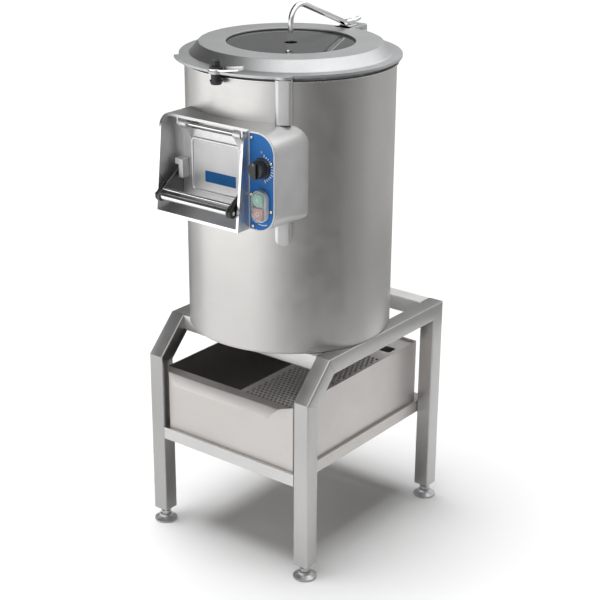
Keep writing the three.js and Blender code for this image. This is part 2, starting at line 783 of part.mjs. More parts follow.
// The motor hangs its foot flange on a plate with three posts.
function motorPlate() {
  const top = motorBottom - GAP;
  const bottom = top - MOTOR_PLATE.thickness;
  const plate = post(MOTOR_PLATE.radius, bottom, top, MOTOR.across, MOTOR.back);
  const bore = post(MOTOR_PLATE.bore, bottom - OVERRUN, top + OVERRUN, MOTOR.across, MOTOR.back);
  const outwardAngle = Math.atan2(MOTOR.back, MOTOR.across);
  const posts = [];
  for (let i = 0; i < MOTOR_PLATE.postCount; i += 1) {
    const angle = outwardAngle + (i - (MOTOR_PLATE.postCount - 1) / 2) * MOTOR_PLATE.postSpread;
    const x = MOTOR.across + MOTOR_PLATE.postCircle * Math.cos(angle);
    const y = MOTOR.back + MOTOR_PLATE.postCircle * Math.sin(angle);
    posts.push(post(MOTOR_PLATE.post, shellBottom, bottom + GAP, x, y, SMALL_SIDES));
  }
  return join(cut(plate, bore), ...posts);
}

add('motor_plate', motorPlate(), zincPlate);

const wastePipe = turned([
  [WASTE.radius - WASTE.wall, drumFoot - WASTE.drop],
  [WASTE.radius, drumFoot - WASTE.drop],
  [WASTE.radius, housingTop - WASTE.flangeHeight],
  [WASTE.flange, housingTop - WASTE.flangeHeight],
  [WASTE.flange, housingTop],
  [WASTE.radius - WASTE.wall, housingTop],
  [WASTE.radius - WASTE.wall, drumFoot - WASTE.drop],
], ROUND_SIDES).translate(wasteX, 0, 0);
add('waste_pipe', wastePipe, steelSatin);

// Cable gland at the back of the drum, with its nut against the shell and a tail inside.
const glandY = DRUM.radius + GAP;
const gland = turned([
  [GLAND.bore, -GLAND.tail],
  [glandTail, -GLAND.tail],
  [glandTail, 0],
  [GLAND.nut, 0],
  [GLAND.nut, GLAND.nutHeight],
  [GLAND.radius, GLAND.nutHeight],
  [GLAND.radius, GLAND.reach],
  [GLAND.bore, GLAND.reach],
  [GLAND.bore, -GLAND.tail],
], SMALL_SIDES).rotateX(-Math.PI / 2).translate(0, glandY, glandHeight);
add('cable_gland', gland, blackPlastic);

// Lid
const latchY = -(LID.flangeRadius + LATCH.outset);

function lidCasting() {
  const underside = lidTop - LID.wall;
  const body = turned([
    [LID.windowOpening, underside],
    [LID.innerTop, underside],
    [LID.innerFoot, lidBase],
    [LID.flangeRadius, lidBase],
    [LID.flangeRadius, flangeTop],
    [LID.coneFoot, flangeTop],
    [LID.coneTop, lidTop],
    [LID.windowOpening, lidTop],
    [LID.windowOpening, underside],
  ]);
  // The front of the flange stands out further, with an ear for the latch and a lobe over the duct.
  const from = -Math.PI / 2 - THREE.MathUtils.degToRad(LID_FRONT.leftDegrees);
  const to = -Math.PI / 2 + THREE.MathUtils.degToRad(LID_FRONT.rightDegrees);
  const frontShape = new THREE.Shape();
  frontShape.absarc(0, 0, LID_FRONT.radius, from, to);
  frontShape.absarc(0, 0, LID_FRONT.inner, to, from, true);
  const front = new THREE.ExtrudeGeometry(frontShape, {
    depth: LID.flange,
    bevelEnabled: false,
    curveSegments: ROUND_SIDES,
  }).translate(0, 0, lidBase);
  const ear = post(LATCH.earRadius, lidBase, flangeTop, 0, latchY);
  const ductLobe = post(LOBE.radius, lidBase, flangeTop, duct.x * LOBE.reach, duct.y * LOBE.reach);
  const below = lidBase - OVERRUN;
  const spindleHole = post(LATCH.spindle + PLAY, below, flangeTop + OVERRUN, 0, latchY, SMALL_SIDES);
  // The tongue behind carries the spout and the hinge lugs.
  const reach = HINGE.back + HINGE.knuckle;
  const half = TONGUE.halfWidth;
  const tongue = block(-half, half, TONGUE.front, reach, lidTop - TONGUE.thickness, lidTop);
  const notch = block(
    -HINGE.notch, HINGE.notch, LID.coneFoot - PLAY, DRUM.radius * 2, below, flangeTop + PLAY);
  const lugs = [-1, 1].map((side) => hingeLug(side, reach));
  return cut(join(cut(join(body, front, ear, ductLobe), notch, spindleHole), tongue, ...lugs), hingeBore());
}

// One ear of the lid's hinge: a round end under the tongue.
function hingeLug(side, reach) {
  const places = [side * HINGE.lugInner, side * HINGE.lugOuter];
  const top = lidTop - TONGUE.thickness / 2;
  const upper = places.flatMap((x) => [[x, HINGE.back - HINGE.knuckle, top], [x, reach, top]]);
  return hull([...roundCorners(places, HINGE.knuckle, HINGE.back, hingeHeight), ...upper]);
}

const hingeBore = () =>
  barAlongX(HINGE.pin + PLAY, -DRUM.radius, DRUM.radius, HINGE.back, hingeHeight, SMALL_SIDES);

add('lid_casting', lidCasting(), castAluminium);

const windowTop = lidTop - LID.wall - GAP;
const windowBottom = windowTop - WINDOW.thickness;
add('lid_window', ring(WINDOW.radius, WINDOW.hole, windowBottom, windowTop), smokedGlass);
add('lid_seal', ring(LID_SEAL.outer, LID_SEAL.inner, drumTop + GAP, lidBase - GAP), greyRubber);

// The room that the top ring's lip takes, cut from what is fixed outside the drum.
const lipTool = () => post(
  DRUM.radius + TOP_RING.lip + GAP, drumTop - TOP_RING.lipHeight * 2, lidBase, 0, 0, DRUM_SIDES);

// The hinge bracket is screwed to the back of the drum and keeps clear of the top ring's lip.
function hingeBracket() {
  const top = drumTop - HINGE_PLATE.topGap;
  const bottom = top - HINGE_PLATE.drop;
  const back = DRUM.radius + HINGE_PLATE.thickness;
  const half = HINGE_PLATE.halfWidth;
  const plate = block(-half, half, DRUM.radius / 2, back, bottom, top);
  const places = [-HINGE_PLATE.armHalfWidth, HINGE_PLATE.armHalfWidth];
  const low = bottom + HINGE_PLATE.thickness;
  const lower = places.flatMap((x) => [[x, DRUM.radius, low], [x, DRUM.radius, top]]);
  const arm = hull([...roundCorners(places, HINGE.knuckle, HINGE.back, hingeHeight), ...lower]);
  const drumTool = post(DRUM.radius + GAP, bottom - OVERRUN, drumTop + OVERRUN, 0, 0, DRUM_SIDES);
  return cut(join(plate, arm), drumTool, lipTool(), hingeBore());
}

add('lid_hinge_bracket', hingeBracket(), castAluminium);
const hingePin = barAlongX(
  HINGE.pin, -TONGUE.halfWidth, TONGUE.halfWidth, HINGE.back, hingeHeight, SMALL_SIDES);
add('lid_hinge_pin', hingePin, steelBright);

// The spout's route: straight up over the window's hole, round a bend, and down to the clamp.
class SpoutRoute extends THREE.Curve {
  getPoint(t) {
    const foot = windowTop + SPOUT.tipLift;
    const fall = Math.atan(SPOUT.slope);
    const sweep = Math.PI / 2 + fall;
    const arc = SPOUT.bend * sweep;
    const bendEnd = SPOUT.bend * (1 + Math.sin(fall));
    const run = (SPOUT.end - bendEnd) / Math.cos(fall);
    const along = t * (SPOUT.rise + arc + run);
    if (along < SPOUT.rise) {
      return new THREE.Vector3(0, 0, foot + along);
    }
    const turn = Math.min((along - SPOUT.rise) / SPOUT.bend, sweep);
    const y = SPOUT.bend * (1 - Math.cos(turn));
    const z = foot + SPOUT.rise + SPOUT.bend * Math.sin(turn);
    const rest = Math.max(0, along - SPOUT.rise - arc);
    return new THREE.Vector3(0, y + rest * Math.cos(fall), z - rest * Math.sin(fall));
  }
}

function circleShape(radius, bore, sides) {
  const point = (r, i) => [r * Math.cos((i * 2 * Math.PI) / sides), r * Math.sin((i * 2 * Math.PI) / sides)];
  const count = [...Array(sides).keys()];
  const shape = outline(count.map((i) => point(radius, i)));
  shape.holes.push(new THREE.Path(count.map((i) => new THREE.Vector2(...point(bore, i)))));
  return shape;
}

const spoutRoute = new SpoutRoute();
const spoutPipe = new THREE.ExtrudeGeometry(circleShape(SPOUT.radius, SPOUT.bore, SPOUT.sides), {
  steps: SPOUT.steps,
  bevelEnabled: false,
  extrudePath: spoutRoute,
});
add('spout_pipe', spoutPipe, steelBright);

// The clamp block on the tongue: the pipe enters in front and the hose goes on the barb behind.
const spoutEnd = spoutRoute.getPoint(1);
const clampBottom = lidTop + GAP;

function spoutClamp() {
  const narrow = CLAMP.halfWidth;
  const wide = CLAMP.footHalfWidth;
  const top = clampBottom + CLAMP.height;
  const body = block(-narrow, narrow, CLAMP.front, CLAMP.rear, clampBottom, top);
  const foot = block(-wide, wide, CLAMP.footFront, CLAMP.rear, clampBottom, clampBottom + CLAMP.foot);
  const behind = CLAMP.rear + CONNECTOR.length + OVERRUN;
  const way = barAlongY(SPOUT.bore, CLAMP.front - OVERRUN, behind, 0, spoutEnd.z, SMALL_SIDES);
  const pipeRoom = hullAlong(SPOUT.radius + GAP, spoutRoute.getPoint(1), spoutRoute.getTangent(1), OVERRUN);
  const length = CLAMP.rear - CLAMP.front;
  const connector = turned([
    [0, -length / 2],
    [CONNECTOR.radius, -length / 2],
    [CONNECTOR.radius, CONNECTOR.length - CONNECTOR.barbLength],
    [CONNECTOR.barb, CONNECTOR.length - CONNECTOR.barbLength],
    [CONNECTOR.radius, CONNECTOR.length],
    [0, CONNECTOR.length],
  ], SMALL_SIDES).rotateX(-Math.PI / 2).translate(0, CLAMP.rear, spoutEnd.z);
  return cut(join(body, foot, connector), way, pipeRoom);
}

// A short round tool that runs back from a pipe's end along the pipe.
function hullAlong(radius, end, tangent, length) {
  const tool = new THREE.CylinderGeometry(radius, radius, length, SMALL_SIDES);
  tool.translate(0, -length / 2 + GAP, 0);
  const turn = new THREE.Quaternion().setFromUnitVectors(new THREE.Vector3(0, 1, 0), tangent);
  return tool.applyQuaternion(turn).translate(end.x, end.y, end.z);
}

add('spout_clamp', spoutClamp(), steelBright);

// Lid latch: a knob with its spindle, a flat lever, and the catch below the flange.
const leverBottom = flangeTop + GAP;
const leverTop = leverBottom + LATCH.leverThickness;
const catchTop = lidBase - GAP;
const catchBottom = catchTop - LATCH.catchHeight;

function latchKnob() {
  const bottom = leverTop + GAP;
  const collar = post(LATCH.collar, bottom, bottom + LATCH.collarHeight, 0, latchY);
  const head = post(LATCH.knobRadius, bottom, bottom + LATCH.knobHeight, 0, latchY);
  const spindleFoot = catchTop - LATCH.catchHeight / 2;
  const spindle = post(
    LATCH.spindle, spindleFoot, bottom + LATCH.collarHeight, 0, latchY, SMALL_SIDES);
  const lobes = [];
  for (let i = 0; i < LATCH_LOBES.count; i += 1) {
    const angle = (i * 2 * Math.PI) / LATCH_LOBES.count;
    const x = LATCH.knobRadius * Math.cos(angle);
    const y = latchY + LATCH.knobRadius * Math.sin(angle);
    lobes.push(post(LATCH_LOBES.radius, bottom, bottom + LATCH.knobHeight, x, y, SMALL_SIDES));
  }
  return join(collar, head, spindle, ...lobes);
}

function latchLever() {
  const hub = post(LATCH.leverHub, leverBottom, leverTop, 0, latchY);
  const half = LATCH.leverWidth / 2;
  const corners = [];
  for (const y of [latchY - half, latchY + half]) {
    corners.push([0, y, leverTop], [0, y, leverTop - LATCH.leverThickness]);
    corners.push([LATCH.leverLength, y, leverTop + LATCH.leverRise]);
    corners.push([LATCH.leverLength, y, leverTop + LATCH.leverRise - LATCH.leverThickness]);
  }
  const collarRoom = post(LATCH.collar + PLAY, leverTop, leverTop + OVERRUN * 2, 0, latchY);
  const bore = post(
    LATCH.spindle + GAP, leverBottom - OVERRUN, leverTop + OVERRUN, 0, latchY, SMALL_SIDES);
  return cut(join(hub, hull(corners)), collarRoom, bore);
}

// The catch has a flat side that passes the drum's lip; turned, its round side goes under the lip.
function latchCatch() {
  const shoulder = drumTop - TOP_RING.lipHeight - LATCH.shoulder;
  const body = turned([
    [0, catchBottom],
    [LATCH.catchBottom, catchBottom],
    [LATCH.catchTop, shoulder],
    [LATCH.neck, shoulder],
    [LATCH.neck, catchTop],
    [0, catchTop],
  ], ROUND_SIDES).translate(0, latchY, 0);
  const wide = LATCH.catchTop;
  const flat = block(
    -wide, wide, latchY + LATCH.neck, latchY + wide, catchBottom - OVERRUN, catchTop);
  const bore = post(
    LATCH.spindle + GAP, catchTop - LATCH.catchHeight / 2 - GAP, catchTop + OVERRUN, 0, latchY, SMALL_SIDES);
  return cut(body, flat, bore);
}

add('latch_knob', latchKnob(), blackPlastic);
add('latch_lever', latchLever(), steelBright);
add('latch_catch', latchCatch(), blackPlastic);

// Cable duct

// The duct's section, drawn with the drum's axis at the origin and the duct towards -Y.
function ductSection(inset) {
  const half = DUCT.halfWidth - inset;
  const corner = DUCT.corner - inset;
  const front = -DRUM.radius - DUCT.depth + inset;
  return roundedOutline(-half, half, front, -DRUM.radius / 2, [corner, corner, 0, 0]);
}

// A stretch of duct, hollow and open towards the drum and the casting. The upper one is closed on
// top and keeps clear of the top ring's lip; the lower one has a round end.
function ductStretch(z0, z1, roundEnd) {
  const shell = (inset) => {
    const low = roundEnd ? z0 : z0 - inset * OVERRUN;
    const body = alongZ(ductSection(inset), low, roundEnd ? z1 + inset * OVERRUN : z1 - inset);
    if (!roundEnd) return body;
    const half = DUCT.halfWidth - inset;
    const face = roundedOutline(-half, half, z0 + inset, z1 + inset * OVERRUN, [half, half, 0, 0]);
    return common(body, alongY(face, -DRUM.radius * 2, 0));
  };
  const drumTool = post(DRUM.radius + GAP, z0 - OVERRUN, z1 + OVERRUN, 0, 0, DRUM_SIDES);
  const hollow = shell(DUCT.wall);
  return cut(shell(0).rotateZ(ductAngle), hollow.rotateZ(ductAngle), drumTool, lipTool());
}

add('upper_cable_duct', ductStretch(castingTop + GAP, lidBase - DUCT.topGap, false), steelSatin);
add('lower_cable_duct', ductStretch(ductBottom, castingBottom - GAP, true), steelSatin);

// Front casting

// The chute seen from the side: the rim leans forward as it goes down and rounds off at the top.
function chuteSide() {
  const shape = new THREE.Shape();
  shape.moveTo(-DRUM.radius / 2, castingBottom);
  shape.lineTo(-CASTING.rimBottom, castingBottom);
  shape.lineTo(-CASTING.rimTop, castingBottom + CASTING.rimStraight);
  shape.quadraticCurveTo(-CASTING.rimTop, castingTop, -CASTING.lipReach, castingTop);
  shape.lineTo(-DRUM.radius / 2, castingTop);
  return shape;
}

// The pocket in front of the door seat, open to the front and sloping down to the rim.
function chutePocket() {
  const far = -CASTING.rimBottom - OVERRUN;
  const slope = (CASTING.floorAtDoor - CASTING.floorAtRim) / (CASTING.rimBottom - CASTING.seatFront);
  const outerFloor = castingBottom + CASTING.floorAtRim - slope * OVERRUN;
  return outline([
    [-CASTING.seatFront, castingBottom + CASTING.floorAtDoor],
    [-CASTING.seatFront, castingTop - CASTING.wall],
    [-CASTING.lipReach - GAP, castingTop - CASTING.wall],
    [-CASTING.lipReach - GAP, castingTop + OVERRUN],
    [far, castingTop + OVERRUN],
    [far, outerFloor],
  ]);
}

// The control box: its right side leans in towards the drum, and its lower corner gets sharper there.
function boxBlock(inset, left, frontReach) {
  const corners = [];
  const low = castingBottom + inset;
  const high = castingTop - inset;
  for (const [y, lowCorner] of [[-frontReach, BOX.corner], [-DRUM.radius / 2, BOX.rearCorner]]) {
    const right = BOX.right - inset - (BOX.front + y) * BOX.draft;
    corners.push([left, y, low], [left, y, high]);
    for (let i = 0; i <= CORNER_STEPS; i += 1) {
      const angle = (i * Math.PI) / 2 / CORNER_STEPS;
      const [across, up] = [1 - Math.sin(angle), 1 - Math.cos(angle)];
      const below = Math.max(lowCorner - inset, 0);
      const above = BOX.corner - inset;
      corners.push([right - below * across, y, low + below * up]);
      corners.push([right - above * across, y, high - above * up]);
    }
  }
  return hull(corners);
}

function frontCasting() {
  const half = CASTING.chuteHalfWidth;
  const wall = CASTING.wall;
  const seatBack = -CASTING.seatFront + CASTING.seat;
  const chute = alongX(chuteSide(), -half, half);
  const box = boxBlock(0, boxLeft - wall, BOX.front);
  const boxRoom = boxBlock(BOX.wall, boxLeft, BOX.front + OVERRUN);
  const pocket = alongX(chutePocket(), -half + wall, half - wall);
  const rear = block(-half + wall, half - wall, seatBack, 0, castingBottom + wall, castingTop - wall);
  const collarShape = roundedOutline(
    -OUTLET.halfWidth - CASTING.passageWall,
    OUTLET.halfWidth + CASTING.passageWall,
    outletSill - CASTING.passageWall,
    outletTop + CASTING.passageWall,
    Array(4).fill(OUTLET.corner + CASTING.passageWall),
  );
  const collar = alongY(collarShape, seatBack - CASTING.seat / 2, -DRUM.radius / 2);
  const ears = [-1, 1].map((side) => {
    const [x0, x1] = [side * EAR.inner, side * EAR.outer].sort((a, b) => a - b);
    const top = castingTop - wall / 2;
    return block(x0, x1, -EAR.front, -EAR.rear, top - EAR.height, top);
  });
  const inner = half - wall;
  const rodHoles = barAlongX(
    HINGE_ROD.radius + GAP, -inner, inner, -HINGE_ROD.reach, rodHeight, SMALL_SIDES);
  const drumTool = post(DRUM.radius + GAP, castingBottom - OVERRUN, castingTop + OVERRUN, 0, 0, DRUM_SIDES);
  const hollowed = cut(join(chute, box), boxRoom, pocket, rear);
  return cut(join(hollowed, collar, ...ears), outletTool, rodHoles, drumTool);
}

add('front_casting', frontCasting(), castAluminium);

// Outlet door
const doorFace = -DOOR.face;
const doorBack = doorFace + DOOR.thickness;
const doorLow = castingBottom + DOOR.bottom;
const doorHigh = castingBottom + DOOR.top;

const hingeRodY = -HINGE_ROD.reach;
const hingeRod = barAlongX(
  HINGE_ROD.radius, -HINGE_ROD.halfLength, HINGE_ROD.halfLength, hingeRodY, rodHeight, SMALL_SIDES);
add('door_hinge_rod', hingeRod, steelBright);

// A frame of constant width round a rectangle, standing on a face.
function frameBand(half, low, high, width, corner, y0, y1) {
  const outer = alongY(roundedOutline(-half, half, low, high, Array(4).fill(corner)), y0, y1);
  const inner = alongY(
    roundedOutline(-half + width, half - width, low + width, high - width, Array(4).fill(corner / 2)),
    y0 - OVERRUN,
    y1 + OVERRUN,
  );
  return cut(outer, inner);
}

function outletDoor() {
  const half = DOOR.halfWidth;
  const plateShape = roundedOutline(-half, half, doorLow, doorHigh, Array(4).fill(DOOR.corner));
  const plate = alongY(plateShape, doorFace, doorBack);
  const bead = frameBand(
    BEAD.halfWidth,
    castingBottom + BEAD.bottom,
    castingBottom + BEAD.top,
    BEAD.width,
    BEAD.corner,
    doorFace - BEAD.height,
    doorFace + BEAD.height,
  );
  const arms = [-1, 1].map((side) => {
    const places = [side * DOOR_ARM.inner, side * DOOR_ARM.outer];
    const root = doorFace + DOOR.thickness / 2;
    const [high, low] = [doorHigh - DOOR.corner, doorHigh - DOOR_ARM.foot];
    const lower = places.flatMap((x) => [[x, root, high], [x, root, low]]);
    return hull([...roundCorners(places, DOOR_ARM.knuckle, hingeRodY, rodHeight), ...lower]);
  });
  const bore = barAlongX(HINGE_ROD.radius + GAP, -half, half, hingeRodY, rodHeight, SMALL_SIDES);
  return cut(join(plate, bead, ...arms), bore);
}

add('outlet_door', outletDoor(), castAluminium);

const doorSeal = frameBand(
  DOOR_SEAL.halfWidth,
  castingBottom + DOOR_SEAL.bottom,
  castingBottom + DOOR_SEAL.top,
  DOOR_SEAL.width,
  OUTLET.corner,
  doorBack + GAP,
  -CASTING.seatFront - GAP,
);
add('door_seal', doorSeal, blackRubber);

// A stepped bracket on the door's left edge.
const bracketTop = castingBottom + BRACKET.top;
const bracketPiece = (x0, x1, height) =>
  block(x0, x1, -BRACKET.reach, doorFace - GAP, bracketTop - height, bracketTop);
const doorBracket = join(
  bracketPiece(-BRACKET.left, -BRACKET.right, BRACKET.top - BRACKET.bottom),
  bracketPiece(-BRACKET.arm, -BRACKET.left + GAP, BRACKET.armHeight),
);
add('door_bracket', doorBracket, castAluminium);

// Handle: the cheeks stand on the door's edges and hold the grip bar in their noses.
const gripY = -GRIP.reach;
const cheekInner = DOOR.halfWidth + GAP;
const cheekOuter = cheekInner + CHEEK.sheet;

function handleFrame() {
  const cheeks = [-1, 1].map((side) => {
    const places = [side * cheekInner, side * cheekOuter];
    const upper = places.flatMap((x) => [
      [x, -TIE.reach, castingBottom + TIE.lift + TIE.radius],
      [x, -CHEEK.topReach, castingBottom + CHEEK.topLift],
      [x, -CHEEK.footReach, castingBottom + CHEEK.topLift],
      [x, -CHEEK.footReach, castingBottom + CHEEK.footLift],
    ]);
    return hull([...roundCorners(places, CHEEK.nose, gripY, gripHeight), ...upper]);
  });
  const tieHeight = castingBottom + TIE.lift;
  const tie = barAlongX(TIE.radius, -cheekOuter, cheekOuter, -TIE.reach, tieHeight, SMALL_SIDES);
  const bore = barAlongX(GRIP.radius + GAP, -DRUM.radius, DRUM.radius, gripY, gripHeight);
  return cut(join(cheeks[0], tie, cheeks[1]), bore);
}

add('handle_frame', handleFrame(), sheetSteel);
add('grip_bar', barAlongX(GRIP.radius, -GRIP.left, GRIP.right, gripY, gripHeight), steelBright);

// A teardrop arm on the grip bar; the right one covers the bar's end.
function gripArm(side) {
  const inner = side * (cheekOuter + PLAY);
  const outer = inner + side * ARM.thickness;
  const cover = side > 0 ? GRIP.right + GAP + ARM.blind : outer;
  const places = [inner, cover];
  const arm = hull([
    ...roundCorners(places, ARM.hub, gripY, gripHeight),
    ...roundCorners(places, ARM.tip, gripY + ARM.tipBack, gripHeight + ARM.tipUp),
  ]);
  const boreEnd = side > 0 ? GRIP.right + GAP : outer - OVERRUN;
  const [x0, x1] = [inner - side * OVERRUN, boreEnd].sort((a, b) => a - b);
  return cut(arm, barAlongX(GRIP.radius + GAP, x0, x1, gripY, gripHeight));
}

add('left_grip_arm', gripArm(-1), blackPlastic);
add('right_grip_arm', gripArm(1), blackPlastic);

// Control panel and what is on it
const knobZ = castingBottom + KNOB.lift;
const bezelZ = castingBottom + BEZEL.lift;

function controlPanel() {
  const edge = PANEL.edge;
  const left = boxLeft + GAP;
  const corner = BOX.corner - edge;
  const shape = roundedOutline(
    left,
    BOX.right - edge,
    castingBottom + edge,
    castingTop - edge,
    [PANEL.leftCorner, corner, corner, PANEL.leftCorner],
  );
  const [y0, y1] = [panelFace - OVERRUN, panelBack + OVERRUN];
  const spindleHole = barAlongY(KNOB.spindle + PLAY, y0, y1, controlAcross, knobZ, SMALL_SIDES);
  return cut(alongY(shape, panelFace, panelBack), spindleHole, ...stemTools(y0, y1));
}

// Square holes for the two buttons' stems.
function stemTools(y0, y1) {
  const half = BUTTON.stem + PLAY;
  return [-1, 1].map((side) => {
    const z = bezelZ + side * BUTTON.pitch;
    return block(controlAcross - half, controlAcross + half, y0, y1, z - half, z + half);
  });
}

add('control_panel', controlPanel(), blueFoil);

function timerKnob() {
  const back = panelFace - PLAY;
  const inSkirt = back - KNOB.skirtHeight / 2;
  const skirt = barAlongY(KNOB.skirt, back - KNOB.skirtHeight, back, controlAcross, knobZ);
  const body = barAlongY(KNOB.body, back - KNOB.height, inSkirt, controlAcross, knobZ);
  const [half, long] = [KNOB.gripHalfWidth, KNOB.gripHalfLength];
  const grip = block(
    controlAcross - half,
    controlAcross + half,
    back - KNOB.gripHeight,
    inSkirt,
    knobZ - long,
    knobZ + long,
  );
  const spindleEnd = panelBack + SWITCHES.socket - PLAY * 2;
  const spindle = barAlongY(
    KNOB.spindle, back - KNOB.skirtHeight, spindleEnd, controlAcross, knobZ, SMALL_SIDES);
  return join(skirt, body, grip, spindle);
}

add('timer_knob', timerKnob(), blackPlastic);

const bezelFace = panelFace - GAP - BEZEL.depth;
const buttonShape = (grow, z) => roundedOutline(
  controlAcross - BUTTON.halfWidth - grow,
  controlAcross + BUTTON.halfWidth + grow,
  z - BUTTON.halfHeight - grow,
  z + BUTTON.halfHeight + grow,
  Array(4).fill(BUTTON.corner),
);

function buttonBezel() {
  const shape = roundedOutline(
    controlAcross - BEZEL.halfWidth,
    controlAcross + BEZEL.halfWidth,
    bezelZ - BEZEL.halfHeight,
    bezelZ + BEZEL.halfHeight,
    Array(4).fill(BEZEL.corner),
  );
  const rooms = [-1, 1].map((side) =>
    alongY(buttonShape(PLAY, bezelZ + side * BUTTON.pitch), bezelFace - OVERRUN, panelFace + OVERRUN));
  return cut(alongY(shape, bezelFace, panelFace - GAP), ...rooms);
}

add('button_bezel', buttonBezel(), palePlastic);

// A button with its stem through the panel, pushed in by the finger.
function pushButton(side) {
  const z = bezelZ + side * BUTTON.pitch;
  const face = bezelFace - BUTTON.proud;
  const cap = alongY(buttonShape(0, z), face, face + BUTTON.depth);
  const half = BUTTON.stem;
  const stem = block(
    controlAcross - half,
    controlAcross + half,
    face + BUTTON.depth / 2,
    panelBack + BUTTON.stemReach,
    z - half,
    z + half,
  );
  return join(cap, stem);
}

add('start_button', pushButton(1), greenPlastic);
add('stop_button', pushButton(-1), redPlastic);

// One block behind the panel holds the timer and the buttons' contacts.
function switchBlock() {
  const front = panelBack + GAP;
  const half = SWITCHES.halfWidth;
  const x0 = controlAcross - half - PANEL.edge * 2;
  const x1 = controlAcross + half - PANEL.edge * 2;
  const timer = block(x0, x1, front, front + SWITCHES.timerDepth, knobZ - half, knobZ + half);
  const low = bezelZ - BUTTON.pitch - BUTTON.halfHeight;
  const contacts = block(x0, x1, front, front + SWITCHES.contactDepth, low, knobZ);
  const socket = front + SWITCHES.socket;
  const spindleRoom = barAlongY(
    KNOB.spindle + PLAY, front - OVERRUN, socket, controlAcross, knobZ, SMALL_SIDES);
  return cut(join(timer, contacts), spindleRoom, ...stemTools(front - OVERRUN, socket));
}

add('switch_block', switchBlock(), palePlastic);

// The origin goes on the floor under the middle of the machine's outline.
const bounds = new THREE.Box3().setFromObject(machine);
const middle = bounds.getCenter(new THREE.Vector3());
machine.position.set(-middle.x, -middle.y, -bounds.min.z);
machine.updateMatrixWorld(true);

export default machine;
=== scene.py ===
"""Electric potato peeler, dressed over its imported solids.

A brushed steel drum on a tube stand, with a cast lid and window, a cast outlet chute with its door
and control box, a bent water spout, and a sheet steel peel tray with a perforated strainer.
Lengths are in metres. The front of the machine faces -Y and its height runs along +Z.
"""
import math
from types import SimpleNamespace as Sizes

import bmesh
import bpy
from bpy.props import FloatProperty, FloatVectorProperty, IntProperty, PointerProperty
from mathutils import Matrix, Vector


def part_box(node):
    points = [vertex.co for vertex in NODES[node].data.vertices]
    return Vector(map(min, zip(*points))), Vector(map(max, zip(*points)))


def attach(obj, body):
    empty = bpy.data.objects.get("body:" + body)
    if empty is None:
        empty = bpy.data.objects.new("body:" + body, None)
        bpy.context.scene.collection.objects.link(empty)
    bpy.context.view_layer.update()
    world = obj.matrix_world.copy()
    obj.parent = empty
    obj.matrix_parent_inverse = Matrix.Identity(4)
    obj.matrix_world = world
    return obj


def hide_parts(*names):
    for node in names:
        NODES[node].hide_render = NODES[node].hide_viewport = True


bl_info = {
    "name": "Electric potato peeler",
    "version": (1, 0, 0),
    "blender": (4, 5, 0),
    "location": "3D View > Sidebar > Peeler",
    "description": "Builds a catering potato peeler on its packed solids",
    "category": "Add Mesh",
}

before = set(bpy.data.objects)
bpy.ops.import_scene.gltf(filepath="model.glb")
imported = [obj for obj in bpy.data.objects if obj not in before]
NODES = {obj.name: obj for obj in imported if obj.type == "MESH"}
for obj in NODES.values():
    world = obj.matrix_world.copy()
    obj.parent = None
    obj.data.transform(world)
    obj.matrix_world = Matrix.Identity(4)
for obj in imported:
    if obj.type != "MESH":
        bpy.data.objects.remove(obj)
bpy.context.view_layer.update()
BOX = {name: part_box(name) for name in NODES}
MIDDLE = {name: (low + high) / 2 for name, (low, high) in BOX.items()}

# Places that the solids give
SHELL_LOW, SHELL_HIGH = BOX["drum_shell"]
AXIS_Y = (SHELL_LOW.y + SHELL_HIGH.y) / 2
AXIS = (0.0, AXIS_Y)
ORIGIN = (0.0, 0.0)
DRUM_RADIUS = (SHELL_HIGH.x - SHELL_LOW.x) / 2
RING_LOW, RING_HIGH = BOX["drum_top_ring"]
RING_RADIUS = (RING_HIGH.x - RING_LOW.x) / 2
LID_LOW, LID_HIGH = BOX["lid_casting"]
CASTING_LOW, CASTING_HIGH = BOX["front_casting"]
PANEL_LOW, PANEL_HIGH = BOX["control_panel"]
BEZEL_LOW, BEZEL_HIGH = BOX["button_bezel"]
GAP = 0.0003  # between pieces that touch
SINK = 0.0001  # of a print into what it lies on

# Stand and tray
STAND = Sizes(knee=0.358, seam=0.00015, corner=0.0028)
RAIL = Sizes(sheet=0.0025, flange=0.025)
FOOT = Sizes(edge=0.0035, crown=0.0085, collar=0.0115, collar_top=0.0125, nut=0.0085, nut_top=0.0205)
STEM = Sizes(radius=0.0048, depth=0.0007, pitch=0.0015)
TRAY = Sizes(
    sheet=0.0015, rim=0.018, inset=0.018, flap_inset=0.021, drop=0.0195, reach=0.0125, corner=0.0025,
    fold=0.002, ledge=0.005)
STRAINER = Sizes(sheet=0.0015, margin=0.007, plain=0.098, slot_left=0.055, slot_right=0.135, notch=0.0056)
SLOT = Sizes(depth=0.026, from_rear=0.0454, corner=0.006)

# Drum and chamber
DRUM = Sizes(
    wall=0.0015, roll=0.0012, mouth=0.183, gland_hole=0.0078, duct_hole=0.0075, waste_hole=0.0243)
WELD = Sizes(radius=0.0011, angle=math.radians(128), steps=16)
OUTLET = Sizes(half=0.062, sill=0.0245, height=0.100, corner=0.010)
LINER_WALL = 0.006
TABLE = Sizes(
    dome=0.010, dome_radius=0.024, dome_foot=0.046, thickness=0.007, ridges=3, hub=0.030, edge=0.002)
RIDGE = Sizes(inner=0.044, length=0.118, half=0.0125, height=0.009, top=0.45, edge=0.003)

